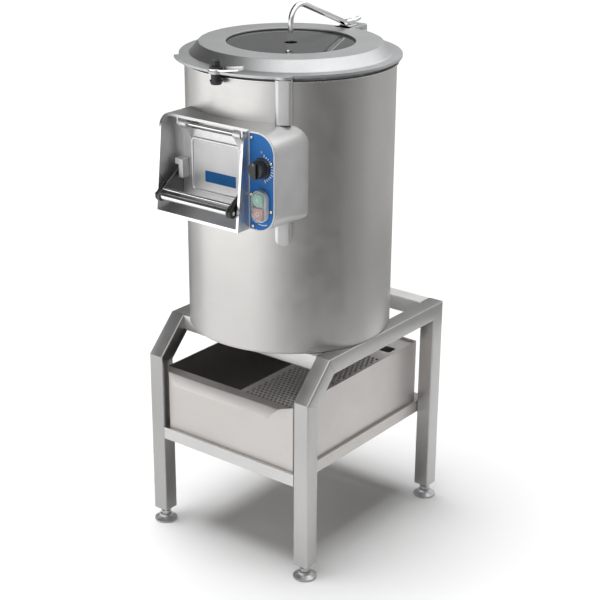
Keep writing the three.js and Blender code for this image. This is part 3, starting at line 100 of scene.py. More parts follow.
# Lid
LID = Sizes(cone_foot=0.180, cone_top=0.165, flange=0.0045, wall=0.0035, opening=0.116, fillet=0.005)
LID_INNER = Sizes(foot=0.173, top=0.159)
LID_FRONT = Sizes(radius=0.209, left=math.radians(43), right=math.radians(38))
EAR = Sizes(radius=0.014, reach=0.2035, hole=0.0046)
LOBE = Sizes(radius=0.016, reach=0.200, angle=math.radians(34.8))
SEAL = Sizes(width=0.005, edge=0.0008)
HINGE = Sizes(
    back=0.206, pin=0.004, knuckle=0.008, lug_inner=0.008, lug_outer=0.015, notch=0.021, plate=0.006,
    arm=0.0074, foot=0.006, head=0.0012, screw=0.0042, screw_x=0.014, screw_z=0.011)
TONGUE = Sizes(half=0.017, thickness=0.006, front=0.150)
WINDOW = Sizes(hole=0.0116, chamfer=0.0006, stud_reach=0.083, stud_angle=math.radians(34.6))
SPOUT = Sizes(radius=0.005, wall=0.0012, tip=0.0175, rise=0.0185, bend=0.028, slope=0.404, end=0.166)
CLAMP = Sizes(
    half=0.006, front=0.1663, rear=0.186, height=0.013, foot=0.003, pipe=0.006346, screw=0.0022,
    screw_x=0.0088, barb_bore=0.0026, barb_lift=math.radians(8))

# Latch
LEVER = Sizes(
    hub=0.013, half=0.008, tip=0.0068, thickness=0.004, rise=0.0065, length=0.055, start=0.014,
    neck=0.030, fold=0.0035, fold_width=0.0028, bend=1.2)
LATCH_KNOB = Sizes(radius=0.0075, lobes=6, depth=0.0007, rim=0.0016, step=0.0008, dish=0.0009, spindle=0.004)
CATCH = Sizes(top=0.0115, bottom=0.0095, neck=0.009, shoulder=0.0049)

# Cable duct and gland
DUCT = Sizes(half=0.015, depth=0.017, wall=0.002, corner=0.007, lip=0.005)
GLAND = Sizes(nut=0.0132, hole=0.0090, bore=0.005)

# Front casting
CHUTE = Sizes(
    half=0.0945, wall=0.005, rim_top=0.248, rim_bottom=0.263, straight=0.137, lip=0.2245, edge=0.006)
CHUTE_INNER = CHUTE.half - CHUTE.wall
SEAT = Sizes(front=0.1985, thickness=0.006, floor=0.014, rim_floor=0.005, collar=0.004, rim=0.04)
ROD_EAR = Sizes(inner=0.0702, outer=0.074, height=0.017, front=0.224, rear=0.2105, corner=0.005)
CONTROL_BOX = Sizes(front=0.2297, wall=0.004, corner=0.036, rear_corner=0.006, draft=0.086, stations=5)

# Outlet door and its handle
ROD = Sizes(radius=0.004, reach=0.2175, drop=0.014)
DOOR = Sizes(thickness=0.006, corner=0.008, face=0.2075, low=0.020, high=0.146)
BEAD = Sizes(half=0.056, low=0.0345, high=0.132, width=0.005, height=0.0022, corner=0.009)
BAND = Sizes(left=-0.0245, right=0.0445, low=0.0555, high=0.0755, corner=0.0006, proud=0.0003)
DOOR_ARM = Sizes(inner=0.053, outer=0.069, knuckle=0.0085, foot=0.030)
DOOR_SEAL_WIDTH = 0.006
BRACKET = Sizes(left=0.072, right=0.062, arm=0.080, bottom=0.058, top=0.092, arm_height=0.011)
GRIP = Sizes(reach=0.2635, lift=0.033, radius=0.006)
CHEEK = Sizes(sheet=0.0025, nose=0.0095, top_reach=0.214, top=0.075, foot_reach=0.203, foot=0.022)
TIE = Sizes(radius=0.0025, reach=0.259, lift=0.0445)
ARM = Sizes(
    hub=0.009, tip=0.005, back=0.012, up=0.017, screw=0.0028, end_screw=0.0034, sunk=0.0005, proud=0.0009)

# Control panel
PANEL = Sizes(corner=0.0352, small_corner=0.003, rim=0.0012, knob_hole=0.0036, button_hole=0.0051)
DIAL = Sizes(
    radius=0.0198, half=0.0009, long=0.0052, short=0.0036, every=4, start=12, sweep=150, proud=0.00025,
    off=0.0275, aside=0.001)
RULE = Sizes(lift=0.0105, radius=0.030, inner=0.0288, start=math.radians(255), end=math.radians(293))
KNOB = Sizes(skirt=0.0182, body=0.0148, flutes=24, flute=0.00035, grip=0.0052, reach=0.0142, height=0.0185)
BUTTON = Sizes(
    surround=0.0138, corner=0.004, gap=0.0006, cap=0.0084, stem=0.0045, mark=0.0035, mark_half=0.0007)
BOOT = Sizes(rim=0.0016, skin=0.0008, proud=0.0052, corner=0.0122, inner_corner=0.0114)

# Studio
CAMERA = Sizes(
    place=(1.60367850673, -2.03714486349, 1.47154391024), lens=88.1104388, sensor=36.0,
    turns=(37.634266718, 21.332576108, 0.384417642))
FLOOR = Sizes(half=30.0, colour=(0.86, 0.86, 0.86), glow=0.03)
KEY_LAMP = Sizes(place=(-1.5, -2.2, 2.4), aim=(0, 0, 0.5), size=2.2)
TOP_LAMP = Sizes(place=(-0.25, -0.35, 3.0), way=(0.10, 0.06, -1.0), spread=math.radians(38))
WALL = Sizes(radius=1.05, knee=0.32, low=0.88, high=1.25, low_level=0.72)
WHITE = (1.0, 1.0, 1.0, 1.0)

# How finely round things are drawn, as counts
DRUM_STEPS = 192
LID_STEPS = 720
ROUND_STEPS = 64
SMALL_STEPS = 32
SCREW_STEPS = 24
CORNER_STEPS = 8

COLOUR = {"subtype": "COLOR", "min": 0, "max": 1}


class PeelerShape(bpy.types.PropertyGroup):
    """Sizes that a user may change."""

    edge: FloatProperty(
        name="Cast edge", description="Rounding of the castings' edges",
        default=0.0014, min=0.0002, max=0.004, unit="LENGTH")
    sheet_edge: FloatProperty(
        name="Sheet edge", description="Rounding of the sheet metal's edges",
        default=0.00035, min=0.0001, max=0.001, unit="LENGTH")
    hole_pitch: FloatProperty(
        name="Hole pitch", description="Distance between the strainer's holes",
        default=0.009, min=0.006, max=0.02, unit="LENGTH")
    hole_size: FloatProperty(
        name="Hole size", description="Diameter of the strainer's holes",
        default=0.0067, min=0.002, max=0.008, unit="LENGTH")
    bolt_size: FloatProperty(
        name="Screw head", description="Diameter of the panel screws' heads",
        default=0.0058, min=0.003, max=0.01, unit="LENGTH")
    tick_count: IntProperty(
        name="Dial ticks", description="Number of marks round the timer knob",
        default=13, min=4, max=30)


class PeelerFinish(bpy.types.PropertyGroup):
    """Colours that a user may change."""

    drum: FloatVectorProperty(
        name="Drum", description="Colour of the drum's sheet steel", default=(0.58, 0.57, 0.555), **COLOUR)
    tube: FloatVectorProperty(
        name="Stand", description="Colour of the stand's tube", default=(0.50, 0.495, 0.49), **COLOUR)
    sheet: FloatVectorProperty(
        name="Tray", description="Colour of the tray's sheet steel", default=(0.585, 0.56, 0.54), **COLOUR)
    cast: FloatVectorProperty(
        name="Casting", description="Colour of the cast aluminium", default=(0.67, 0.67, 0.67), **COLOUR)
    lid: FloatVectorProperty(
        name="Lid", description="Colour of the lid's cast aluminium", default=(0.50, 0.505, 0.51), **COLOUR)
    polished: FloatVectorProperty(
        name="Polished steel", description="Colour of bars, pins and the spout",
        default=(0.74, 0.74, 0.735), **COLOUR)
    panel: FloatVectorProperty(
        name="Panel", description="Colour of the control panel", default=(0.022, 0.175, 0.53), **COLOUR)
    start: FloatVectorProperty(
        name="Start button", description="Colour of the start button", default=(0.24, 0.50, 0.38), **COLOUR)
    stop: FloatVectorProperty(
        name="Stop button", description="Colour of the stop button", default=(0.58, 0.30, 0.27), **COLOUR)


class PeelerStudio(bpy.types.PropertyGroup):
    """Light levels of the studio."""

    key: FloatProperty(name="Key", description="Power of the lamp on the left", default=14.0, unit="POWER")
    top: FloatProperty(name="Top", description="Strength of the light overhead", default=3.5)
    ambient: FloatProperty(name="Ambient", description="Level of the light from all round", default=0.07)


# Node materials

def add_node(tree, kind, inputs=None, **settings):
    """A node with its settings, and with its inputs set to values or linked to other nodes' outputs."""
    node = tree.nodes.new(kind)
    for key, value in settings.items():
        setattr(node, key, value)
    for key, value in (inputs or {}).items():
        if isinstance(value, bpy.types.NodeSocket):
            tree.links.new(value, node.inputs[key])
        else:
            node.inputs[key].default_value = value
    return node


def seen_rays(tree):
    """1 for what the camera sees straight, by a reflection or through glass, and 0 for other light."""
    path = add_node(tree, "ShaderNodeLightPath").outputs
    level = path["Is Camera Ray"]
    for kind in ("Is Glossy Ray", "Is Transmission Ray"):
        level = add_node(tree, "ShaderNodeMath", {0: level, 1: path[kind]}, operation="MAXIMUM").outputs[0]
    return level


class Nodes:
    """A material's node tree, with the surface shader at hand."""

    def __init__(self, name, colour, roughness, metallic=0.0, **extras):
        self.material = bpy.data.materials.new(name)
        self.material.use_nodes = True
        self.material.diffuse_color = (*colour, 1.0)
        self.tree = self.material.node_tree
        self.shader = self.tree.nodes["Principled BSDF"]
        self.colour = colour
        values = {"Base Color": (*colour, 1.0), "Roughness": roughness, "Metallic": metallic}
        for key, value in (*values.items(), *extras.items()):
            self.shader.inputs[key.replace("_", " ")].default_value = value
        self.coords = self.add("ShaderNodeTexCoord").outputs["Object"]

    def add(self, kind, inputs=None, **settings):
        return add_node(self.tree, kind, inputs, **settings)

    def scaled(self, scale, turn=(0.0, 0.0, 0.0)):
        return self.add(
            "ShaderNodeMapping", {"Scale": scale, "Rotation": turn, "Vector": self.coords}).outputs["Vector"]

    def noise(self, scale, detail=4.0, rough=0.55, vector=None):
        inputs = {"Scale": scale, "Detail": detail, "Roughness": rough, "Vector": vector or self.coords}
        return self.add("ShaderNodeTexNoise", inputs).outputs["Fac"]

    def span(self, value, low, high, source_low=0.3, source_high=0.7):
        return self.add("ShaderNodeMapRange", {
            "From Min": source_low, "From Max": source_high, "To Min": low, "To Max": high,
            "Value": value}).outputs["Result"]

    def blend(self, factor, first, second):
        return self.add(
            "ShaderNodeMix", {"A": first, "B": second, "Factor": factor}, data_type="RGBA").outputs["Result"]

    def tint(self, share):
        """The finish's own colour, darker or lighter."""
        return (*[min(1.0, c * share) for c in self.colour], 1.0)

    def shade(self, factor, dark, light):
        """A colour between two tints of the finish's own colour."""
        return self.blend(factor, self.tint(dark), self.tint(light))

    def clouded(self, scale, detail, rough, dark, light):
        """Noise, and the finish's colour shaded by it."""
        noise = self.noise(scale, detail, rough)
        return noise, self.shade(self.span(noise, 0.0, 1.0), dark, light)

    def bump(self, height, distance, strength=1.0, normal=None):
        inputs = {"Strength": strength, "Distance": distance, "Height": height}
        if normal is not None:
            inputs["Normal"] = normal
        return self.add("ShaderNodeBump", inputs).outputs["Normal"]

    def finish(self, colour, roughness, normal):
        for key, value in (("Base Color", colour), ("Roughness", roughness), ("Normal", normal)):
            self.tree.links.new(value, self.shader.inputs[key])
        return self.material


def brushed_steel(name, colour, grain, roughness=(0.27, 0.40), metallic=1.0):
    """Sheet or tube with a fine grain: small scale values lie along the brushing."""
    nodes = Nodes(name, colour, roughness[0], metallic)
    lines = nodes.noise(1.0, 5.0, 0.62, nodes.scaled(grain))
    tone = nodes.clouded(5.0, 3.0, 0.55, 0.94, 1.05)[1]
    smudges = nodes.noise(38.0, 4.0, 0.6)
    streaked = nodes.blend(nodes.span(lines, 0.0, 0.35), tone, nodes.tint(0.86))
    rough = nodes.add("ShaderNodeMath", {
        0: nodes.span(lines, *roughness), 1: nodes.span(smudges, -0.03, 0.04)}, operation="ADD")
    return nodes.finish(streaked, rough.outputs[0], nodes.bump(lines, 0.00003, 0.5))


def cast_metal(name, colour, roughness=(0.36, 0.50)):
    """A fine-blasted casting: a pebbled skin with soft clouding."""
    nodes = Nodes(name, colour, roughness[0], 1.0)
    pits = nodes.noise(420.0, 3.0, 0.6)
    tone = nodes.clouded(14.0, 4.0, 0.55, 0.93, 1.05)[1]
    speckled = nodes.blend(nodes.span(pits, 0.0, 0.28), tone, nodes.tint(0.88))
    skin = nodes.bump(nodes.noise(1500.0, 2.0, 0.5), 0.00010, 0.28)
    return nodes.finish(speckled, nodes.span(pits, *roughness), nodes.bump(pits, 0.00012, 0.25, skin))


def polished_steel(name, colour, roughness=(0.09, 0.20)):
    """Ground and polished bar: faint turning marks and finger smears."""
    nodes = Nodes(name, colour, roughness[0], 1.0)
    smears, tone = nodes.clouded(60.0, 4.0, 0.6, 0.93, 1.03)
    marks = nodes.noise(900.0, 2.0, 0.5)
    return nodes.finish(tone, nodes.span(smears, *roughness), nodes.bump(marks, 0.00002, 0.15))


def moulded(name, colour, roughness, skin=0.00005, worn=1.35):
    """Moulded plastic or rubber: a fine spark-eroded skin, paler where it is rubbed."""
    nodes = Nodes(name, colour, roughness[0])
    spark = nodes.noise(2200.0, 2.0, 0.5)
    rubbed = nodes.noise(70.0, 5.0, 0.65)
    tone = nodes.shade(nodes.span(rubbed, 0.0, 1.0, 0.45, 0.75), 0.92, worn)
    return nodes.finish(tone, nodes.span(rubbed, *roughness), nodes.bump(spark, skin, 0.35))


def grit(name, colour):
    """Coarse abrasive grains in resin."""
    nodes = Nodes(name, colour, 0.9)
    grains = nodes.add(
        "ShaderNodeTexVoronoi", {"Scale": 520.0, "Vector": nodes.coords}, feature="F1").outputs["Distance"]
    dust = nodes.noise(900.0, 4.0, 0.6)
    worn = nodes.noise(18.0, 4.0)
    tone = nodes.shade(nodes.span(grains, 0.0, 1.0, 0.1, 0.6), 1.6, 0.45)
    faded = nodes.blend(nodes.span(worn, 0.0, 0.4), tone, nodes.tint(1.7))
    lumps = nodes.bump(grains, -0.0006, 0.8)
    return nodes.finish(faded, nodes.span(dust, 0.78, 0.98), nodes.bump(dust, 0.0002, 0.5, lumps))


def printed_foil(name, colour):
    """Screen-printed foil with a satin orange-peel skin."""
    nodes = Nodes(name, colour, 0.32, Specular_IOR_Level=0.2)
    haze, tone = nodes.clouded(26.0, 4.0, 0.55, 0.93, 1.08)
    return nodes.finish(tone, nodes.span(haze, 0.42, 0.54), nodes.bump(nodes.noise(700.0, 2.0), 0.00004, 0.2))


def smoked_pane(name, colour):
    """Smoked acrylic, a little scratched and with water spots."""
    nodes = Nodes(name, colour, 0.03, Transmission_Weight=0.55, IOR=1.49)
    spots, tone = nodes.clouded(140.0, 3.0, 0.55, 0.9, 1.1)
    scratches = nodes.noise(1.0, 3.0, 0.6, nodes.scaled((30.0, 700.0, 30.0), (0.0, 0.0, 0.6)))
    return nodes.finish(tone, nodes.span(spots, 0.0, 0.03), nodes.bump(scratches, 0.000004, 0.03))


def clear_boot(name):
    """The soft clear cover over the two buttons, slightly clouded."""
    nodes = Nodes(name, (0.90, 0.93, 0.93), 0.10, Transmission_Weight=0.93, IOR=1.22)
    haze, tone = nodes.clouded(160.0, 3.0, 0.55, 0.95, 1.05)
    return nodes.finish(tone, nodes.span(haze, 0.06, 0.16), nodes.bump(haze, 0.00002, 0.05))


FINISHES = {}


def make_finishes():
    """Fills the table of finishes; a brushed one says its colour, grain along X, Y and Z, and roughness."""
    paint = bpy.context.scene.peeler_finish
    drum, tube, sheet = tuple(paint.drum), tuple(paint.tube), tuple(paint.sheet)
    # A darker copy of the tube steel, as painted shade for the left frame.
    shaded = tuple(c * 0.84 for c in tube)
    # A lighter copy of the tube steel, as painted light for the cross bars and shelf rails.
    pale = tuple(c * 1.22 for c in tube)
    satin, soft = (0.30, 0.42), (0.34, 0.46)
    FINISHES.update(
        drum=brushed_steel("drum_sheet_steel", drum, (26.0, 26.0, 2600.0), (0.30, 0.40)),
        tube=brushed_steel("stand_tube_steel", tube, (900.0, 900.0, 40.0), satin),
        shaded_tube=brushed_steel("shaded_tube_steel", shaded, (900.0, 900.0, 40.0), satin),
        cross_tube=brushed_steel("cross_tube_steel", pale, (40.0, 900.0, 900.0), satin),
        # A near-white, partly metallic steel that paints a bright reflection on the rear bar.
        bright_tube=brushed_steel("bright_tube_steel", (0.93, 0.93, 0.92), (20.0, 300.0, 300.0), satin, 0.35),
        sheet=brushed_steel("tray_sheet_steel", sheet, (14.0, 14.0, 1400.0), soft),
        plate=brushed_steel("flat_sheet_steel", sheet, (900.0, 24.0, 900.0), soft),
        # A dark steel that paints shade on the handle's cheeks and on the tray's floor.
        cheek=brushed_steel("dark_sheet_steel", (0.16, 0.16, 0.16), (400.0, 400.0, 30.0), soft),
        zinc=brushed_steel("zinc_plated_steel", (0.48, 0.485, 0.49), (500.0, 500.0, 500.0), (0.28, 0.42)),
        # A pale steel that paints the highlight on the chute's front rim; the panel screws' heads take it
        # too, their own bright steel with a painted glint.
        rim=brushed_steel("ground_rim", (0.86, 0.86, 0.86), (300.0, 300.0, 300.0), (0.22, 0.34)),
        strainer=brushed_steel("strainer_steel", (0.66, 0.64, 0.62), (60.0, 60.0, 60.0), (0.42, 0.56), 0.75),
        machined=brushed_steel("machined_casting", (0.62, 0.62, 0.62), (700.0, 700.0, 120.0), (0.24, 0.36)),
        cast=cast_metal("blasted_casting", tuple(paint.cast)),
        lid=cast_metal("blasted_lid_casting", tuple(paint.lid)),
        polished=polished_steel("polished_bar", tuple(paint.polished)),
        black=moulded("black_moulded_plastic", (0.012, 0.012, 0.013), (0.30, 0.44)),
        rubber=moulded("black_rubber", (0.016, 0.016, 0.017), (0.60, 0.78), 0.00008, 1.6),
        grey_rubber=moulded("grey_seal_rubber", (0.24, 0.24, 0.245), (0.55, 0.72), 0.00008, 1.5),
        pale=moulded("pale_moulded_plastic", (0.60, 0.61, 0.62), (0.30, 0.44), 0.00004, 1.08),
        start=moulded("start_button_plastic", tuple(paint.start), (0.28, 0.40), 0.00004, 1.25),
        stop=moulded("stop_button_plastic", tuple(paint.stop), (0.28, 0.40), 0.00004, 1.25),
        motor=moulded("motor_enamel", (0.045, 0.06, 0.085), (0.38, 0.52), 0.00007, 1.3),
        panel=printed_foil("blue_panel_foil", tuple(paint.panel)),
        white=printed_foil("white_print", (0.80, 0.81, 0.82)),
        label=printed_foil("blue_label_band", (0.004, 0.12, 0.36)),
        grit=grit("abrasive_coat", (0.075, 0.070, 0.064)),
        pane=smoked_pane("smoked_window", (0.115, 0.118, 0.12)),
        boot=clear_boot("clear_button_cover"),
    )


# Mesh helpers

def arc(centre, radius, start, end, steps=CORNER_STEPS):
    """Points on an arc, from one angle to another, both ends in."""
    angles = [start + (end - start) * i / steps for i in range(steps + 1)]
    return [(centre[0] + radius * math.cos(a), centre[1] + radius * math.sin(a)) for a in angles]


def rounded(u0, u1, v0, v1, radii, steps=CORNER_STEPS):
    """A rectangle with its own radius at each corner, counterclockwise from the lower left."""
    low_left, low_right, high_right, high_left = radii
    quarter = math.pi / 2
    corners = (
        ((u0 + low_left, v0 + low_left), low_left, 2 * quarter),
        ((u1 - low_right, v0 + low_right), low_right, 3 * quarter),
        ((u1 - high_right, v1 - high_right), high_right, 0.0),
        ((u0 + high_left, v1 - high_left), high_left, quarter),
    )
    points = []
    for centre, radius, start in corners:
        points += arc(centre, radius, start, start + quarter, steps) if radius else [centre]
    return points


def sleeve(inner, outer, low, high):
    """The closed profile of a plain sleeve, for revolve."""
    return [(inner, low), (outer, low), (outer, high), (inner, high)]


def verts_in(geom):
    return [item for item in geom if isinstance(item, bmesh.types.BMVert)]


def edges_round(verts):
    return list({edge for vert in verts for edge in vert.link_edges})


def turn_and_move(bm, verts, angle, axis, way):
    """Turns vertices about the origin, then moves them."""
    bmesh.ops.rotate(bm, verts=verts, cent=(0, 0, 0), matrix=Matrix.Rotation(angle, 3, axis))
    bmesh.ops.translate(bm, verts=verts, vec=way)


def round_off(bm, edges, offset, segments=3, clamp=False):
    """Rounds edges of a bmesh."""
    return bmesh.ops.bevel(
        bm, geom=edges, offset=offset, segments=segments, profile=0.5, affect="EDGES",
        clamp_overlap=clamp, material=-1)


def loop(bm, points):
    """A closed ring of vertices and edges."""
    verts = [bm.verts.new(point) for point in points]
    return verts, [bm.edges.new(pair) for pair in zip(verts, verts[1:] + verts[:1])]


def to_mesh(bm, name):
    mesh = bpy.data.meshes.new(name)
    bm.to_mesh(mesh)
    bm.free()
    return mesh


def raise_faces(bm, faces, way):
    """Extrudes faces, moves what is new, and returns its vertices."""
    verts = verts_in(bmesh.ops.extrude_face_region(bm, geom=faces)["geom"])
    bmesh.ops.translate(bm, verts=verts, vec=way)
    return verts


def both_sides(inner, outer):
    """The same span on the left and on the right."""
    return ((-outer, -inner), (inner, outer))


PLANES = {
    "X": lambda u, v, w: Vector((w, u, v)),
    "Y": lambda u, v, w: Vector((u, w, v)),
    "Z": lambda u, v, w: Vector((u, v, w)),
}


def prism(bm, axis, points, low, high):
    """An outline drawn square to an axis and extruded along it."""
    place = PLANES[axis]
    face = bm.faces.new([bm.verts.new(place(u, v, low)) for u, v in points])
    raise_faces(bm, [face], place(0.0, 0.0, high - low))


def slab(bm, low, high):
    """A block between two corners."""
    low, high = Vector(low), Vector(high)
    matrix = Matrix.Translation((low + high) / 2) @ Matrix.Diagonal((*(high - low), 1.0))
    return bmesh.ops.create_cube(bm, size=1.0, matrix=matrix)["verts"]


def rod(bm, radius, start, end, steps=SMALL_STEPS, far_radius=None):
    """A round bar, or a taper, from one point to another."""
    start, end = Vector(start), Vector(end)
    along = end - start
    matrix = Matrix.Translation((start + end) / 2) @ along.to_track_quat("Z", "Y").to_matrix().to_4x4()
    bmesh.ops.create_cone(
        bm, cap_ends=True, cap_tris=False, segments=steps, radius1=radius,
        radius2=radius if far_radius is None else far_radius, depth=along.length, matrix=matrix)


def revolve(bm, profile, centre=AXIS, steps=DRUM_STEPS, closed=False):
    """A profile of (radius, height) points turned about an upright axis, the drum's if none is said."""
    before = set(bm.faces)
    verts = [bm.verts.new((centre[0] + radius, centre[1], height)) for radius, height in profile]
    pairs = list(zip(verts, verts[1:])) + ([(verts[-1], verts[0])] if closed else [])
    edges = [bm.edges.new(pair) for pair in pairs]
    bmesh.ops.spin(
        bm, geom=verts + edges, cent=(*centre, 0.0), axis=(0.0, 0.0, 1.0),
        angle=2 * math.pi, steps=steps, use_merge=True)
    return list({vert for face in set(bm.faces) - before for vert in face.verts})


def revolve_ahead(bm, profile, place, steps=SCREW_STEPS, closed=False):
    """A profile of (radius, reach) points turned about an axis that points to the front."""
    turn_and_move(bm, revolve(bm, profile, ORIGIN, steps, closed), math.pi / 2, "X", place)


def lobed(centre, radius, depth, lobes, steps):
    """A round outline that waves in and out."""
    points = []
    for i in range(lobes * steps):
        angle = 2 * math.pi * i / (lobes * steps)
        reach = radius + depth * math.cos(lobes * angle)
        points.append((centre[0] + reach * math.cos(angle), centre[1] + reach * math.sin(angle)))
    return points


def merge(whole, bm):
    """Moves what is in one bmesh into another."""
    mesh = to_mesh(bm, "part")
    whole.from_mesh(mesh)
    bpy.data.meshes.remove(mesh)


def new_object(bm, name, *finishes):
    """A mesh object with merged doubles and faces that point outwards."""
    bmesh.ops.remove_doubles(bm, verts=bm.verts, dist=1e-6)
    bmesh.ops.recalc_face_normals(bm, faces=bm.faces)
    mesh = to_mesh(bm, name)
    made = bpy.data.objects.new(name, mesh)
    bpy.context.scene.collection.objects.link(made)
    for finish in finishes:
        mesh.materials.append(FINISHES[finish])
    return made


def shaped(name, finish, make, *sizes, **options):
    """An object of one finish made by one of the shapes above."""
    bm = bmesh.new()
    make(bm, *sizes, **options)
    return new_object(bm, name, finish)


def tool(make, *sizes, **options):
    """A cutting tool made by one of the shapes above."""
    bm = bmesh.new()
    make(bm, *sizes, **options)
    return new_object(bm, "tool")


def bake(piece):
    """Puts the result of a piece's modifiers into its mesh."""
    graph = bpy.context.evaluated_depsgraph_get()
    old = piece.data
    shape = bpy.data.meshes.new_from_object(piece.evaluated_get(graph))
    piece.modifiers.clear()
    piece.data = shape
    shape.name = piece.name
    bpy.data.meshes.remove(old)


def carve(piece, *tools, how="DIFFERENCE"):
    """Cuts tools from a piece, or joins them to it."""
    for cutter in tools:
        cut = piece.modifiers.new("cut", "BOOLEAN")
        cut.operation = how
        cut.solver = "EXACT"
        cut.object = cutter
    bake(piece)
    for cutter in tools:
        bpy.data.objects.remove(cutter)
    return piece


def soften(piece, edge=0.0, angle=30.0, segments=3):
    """Rounds a piece's edges, if an edge is said, and shades it smooth between them."""
    for polygon in piece.data.polygons:
        polygon.use_smooth = True
    if edge:
        bevel = piece.modifiers.new("edges", "BEVEL")
        bevel.width = edge
        bevel.segments = segments
        bevel.limit_method = "ANGLE"
        bevel.angle_limit = math.radians(angle)
        bevel.miter_outer = "MITER_ARC"
        bevel.harden_normals = True
        bake(piece)
    else:
        piece.data.set_sharp_from_angle(angle=math.radians(angle))
    return piece


def mount(piece, body, slot, *nodes):
    """Puts a finished piece on its body in place of the solids that it stands for."""
    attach(piece, body)
    if nodes:
        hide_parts(*nodes)


def dress(piece, body, slot, *nodes, **soft):
    """Softens a piece and puts it on its body."""
    mount(soften(piece, **soft), body, slot, *nodes)


def finish(bm, name, look, body, slot, *nodes, **soft):
    """A piece of one finish from a bmesh, softened and put on its body."""
    dress(new_object(bm, name, look), body, slot, *nodes, **soft)


def ahead(reach):
    """Y of something that stands this far in front of the drum's axis."""
    return AXIS_Y - reach


def drum_tool(radius, low, high):
    return tool(rod, radius, (*AXIS, low), (*AXIS, high), DRUM_STEPS)


def outlet_tool():
    """The outlet's opening, from in front of the casting to inside the chamber."""
    sill = CASTING_LOW.z + OUTLET.sill
    points = rounded(-OUTLET.half, OUTLET.half, sill, sill + OUTLET.height, [OUTLET.corner] * 4)
    return tool(prism, "Y", points, ahead(DRUM_RADIUS * 2), ahead(DRUM_RADIUS / 2))


# Stand

def side_frame(side):
    """Leg, slope, top rail and rear leg of square tube, mitred where they meet."""
    low, high = BOX[f"{side}_side_frame"]
    tube = high.x - low.x
    inset = tube / 2
    setback = BOX["front_cross_tube"][0].y - low.y
    lean = math.atan2(setback, high.z - STAND.knee)
    level = math.pi / 2 - lean
    corners = (
        (low.y + inset, low.z), (low.y + inset, STAND.knee - inset * math.tan(lean / 2)),
        (low.y + setback + inset * math.tan(level / 2), high.z - inset),
        (high.y - inset, high.z - inset), (high.y - inset, low.z))
    route = [Vector((0, y, z)) for y, z in corners]
    ways = [(end - start).normalized() for start, end in zip(route, route[1:])]
    cuts = [ways[0]] + [(a + b).normalized() for a, b in zip(ways, ways[1:])] + [ways[-1]]
    whole = bmesh.new()
    section = rounded(-inset, inset, -inset, inset, [STAND.corner] * 4, 4)
    for i, (start, end, way) in enumerate(zip(route, route[1:], ways)):
        bm = bmesh.new()
        prism(bm, "Z", section, -tube, (end - start).length + tube)
        turn = Matrix.Rotation(-math.atan2(way.y, way.z), 4, "X")
        bmesh.ops.transform(bm, matrix=Matrix.Translation(start) @ turn, verts=bm.verts)
        for place, normal, keep in ((start, cuts[i], 1), (end, cuts[i + 1], -1)):
            joint = 0 < (i if keep > 0 else i + 1) < len(route) - 1
            offset = normal * keep * (STAND.seam if joint else 0.0)
            bmesh.ops.bisect_plane(
                bm, geom=bm.verts[:] + bm.edges[:] + bm.faces[:], plane_co=place + offset,
                plane_no=normal * keep, clear_inner=True)
            bmesh.ops.holes_fill(bm, edges=[edge for edge in bm.edges if edge.is_boundary])
        merge(whole, bm)
    bmesh.ops.translate(whole, verts=whole.verts, vec=((low.x + high.x) / 2, 0, 0))
    # The left frame takes the darker tube steel: painted shade.
    return new_object(whole, f"{side}_frame_tubes", "tube" if side == "right" else "shaded_tube")


def cross_tube(node):
    low, high = BOX[node]
    outline = rounded(low.y, high.y, low.z, high.z, [STAND.corner] * 4, 4)
    # The rear bar takes the near-white steel as a painted reflection; the front bar takes the lighter tube
    # steel as painted light.
    look = "bright_tube" if node.startswith("rear") else "cross_tube"
    return shaped(f"{node}_bar", look, prism, "X", outline, low.x, high.x)


def angle_rail(node, axis, side):
    """An angle section that hangs from its top flange, along X or Y."""
    low, high = BOX[node]
    along = "XY".index(axis)
    edge = (low if side > 0 else high)[1 - along]
    sheet, flange = edge + side * RAIL.sheet, edge + side * RAIL.flange
    under = high.z - RAIL.sheet
    outline = [
        (edge, low.z), (sheet, low.z), (sheet, under), (flange, under), (flange, high.z), (edge, high.z)]
    # The shelf rails along X take the lighter tube steel: painted light; the runners take the tray's sheet
    # steel.
    look = "cross_tube" if axis == "X" else "sheet"
    return shaped(f"{node}_angle", look, prism, axis, outline, low[along], high[along])


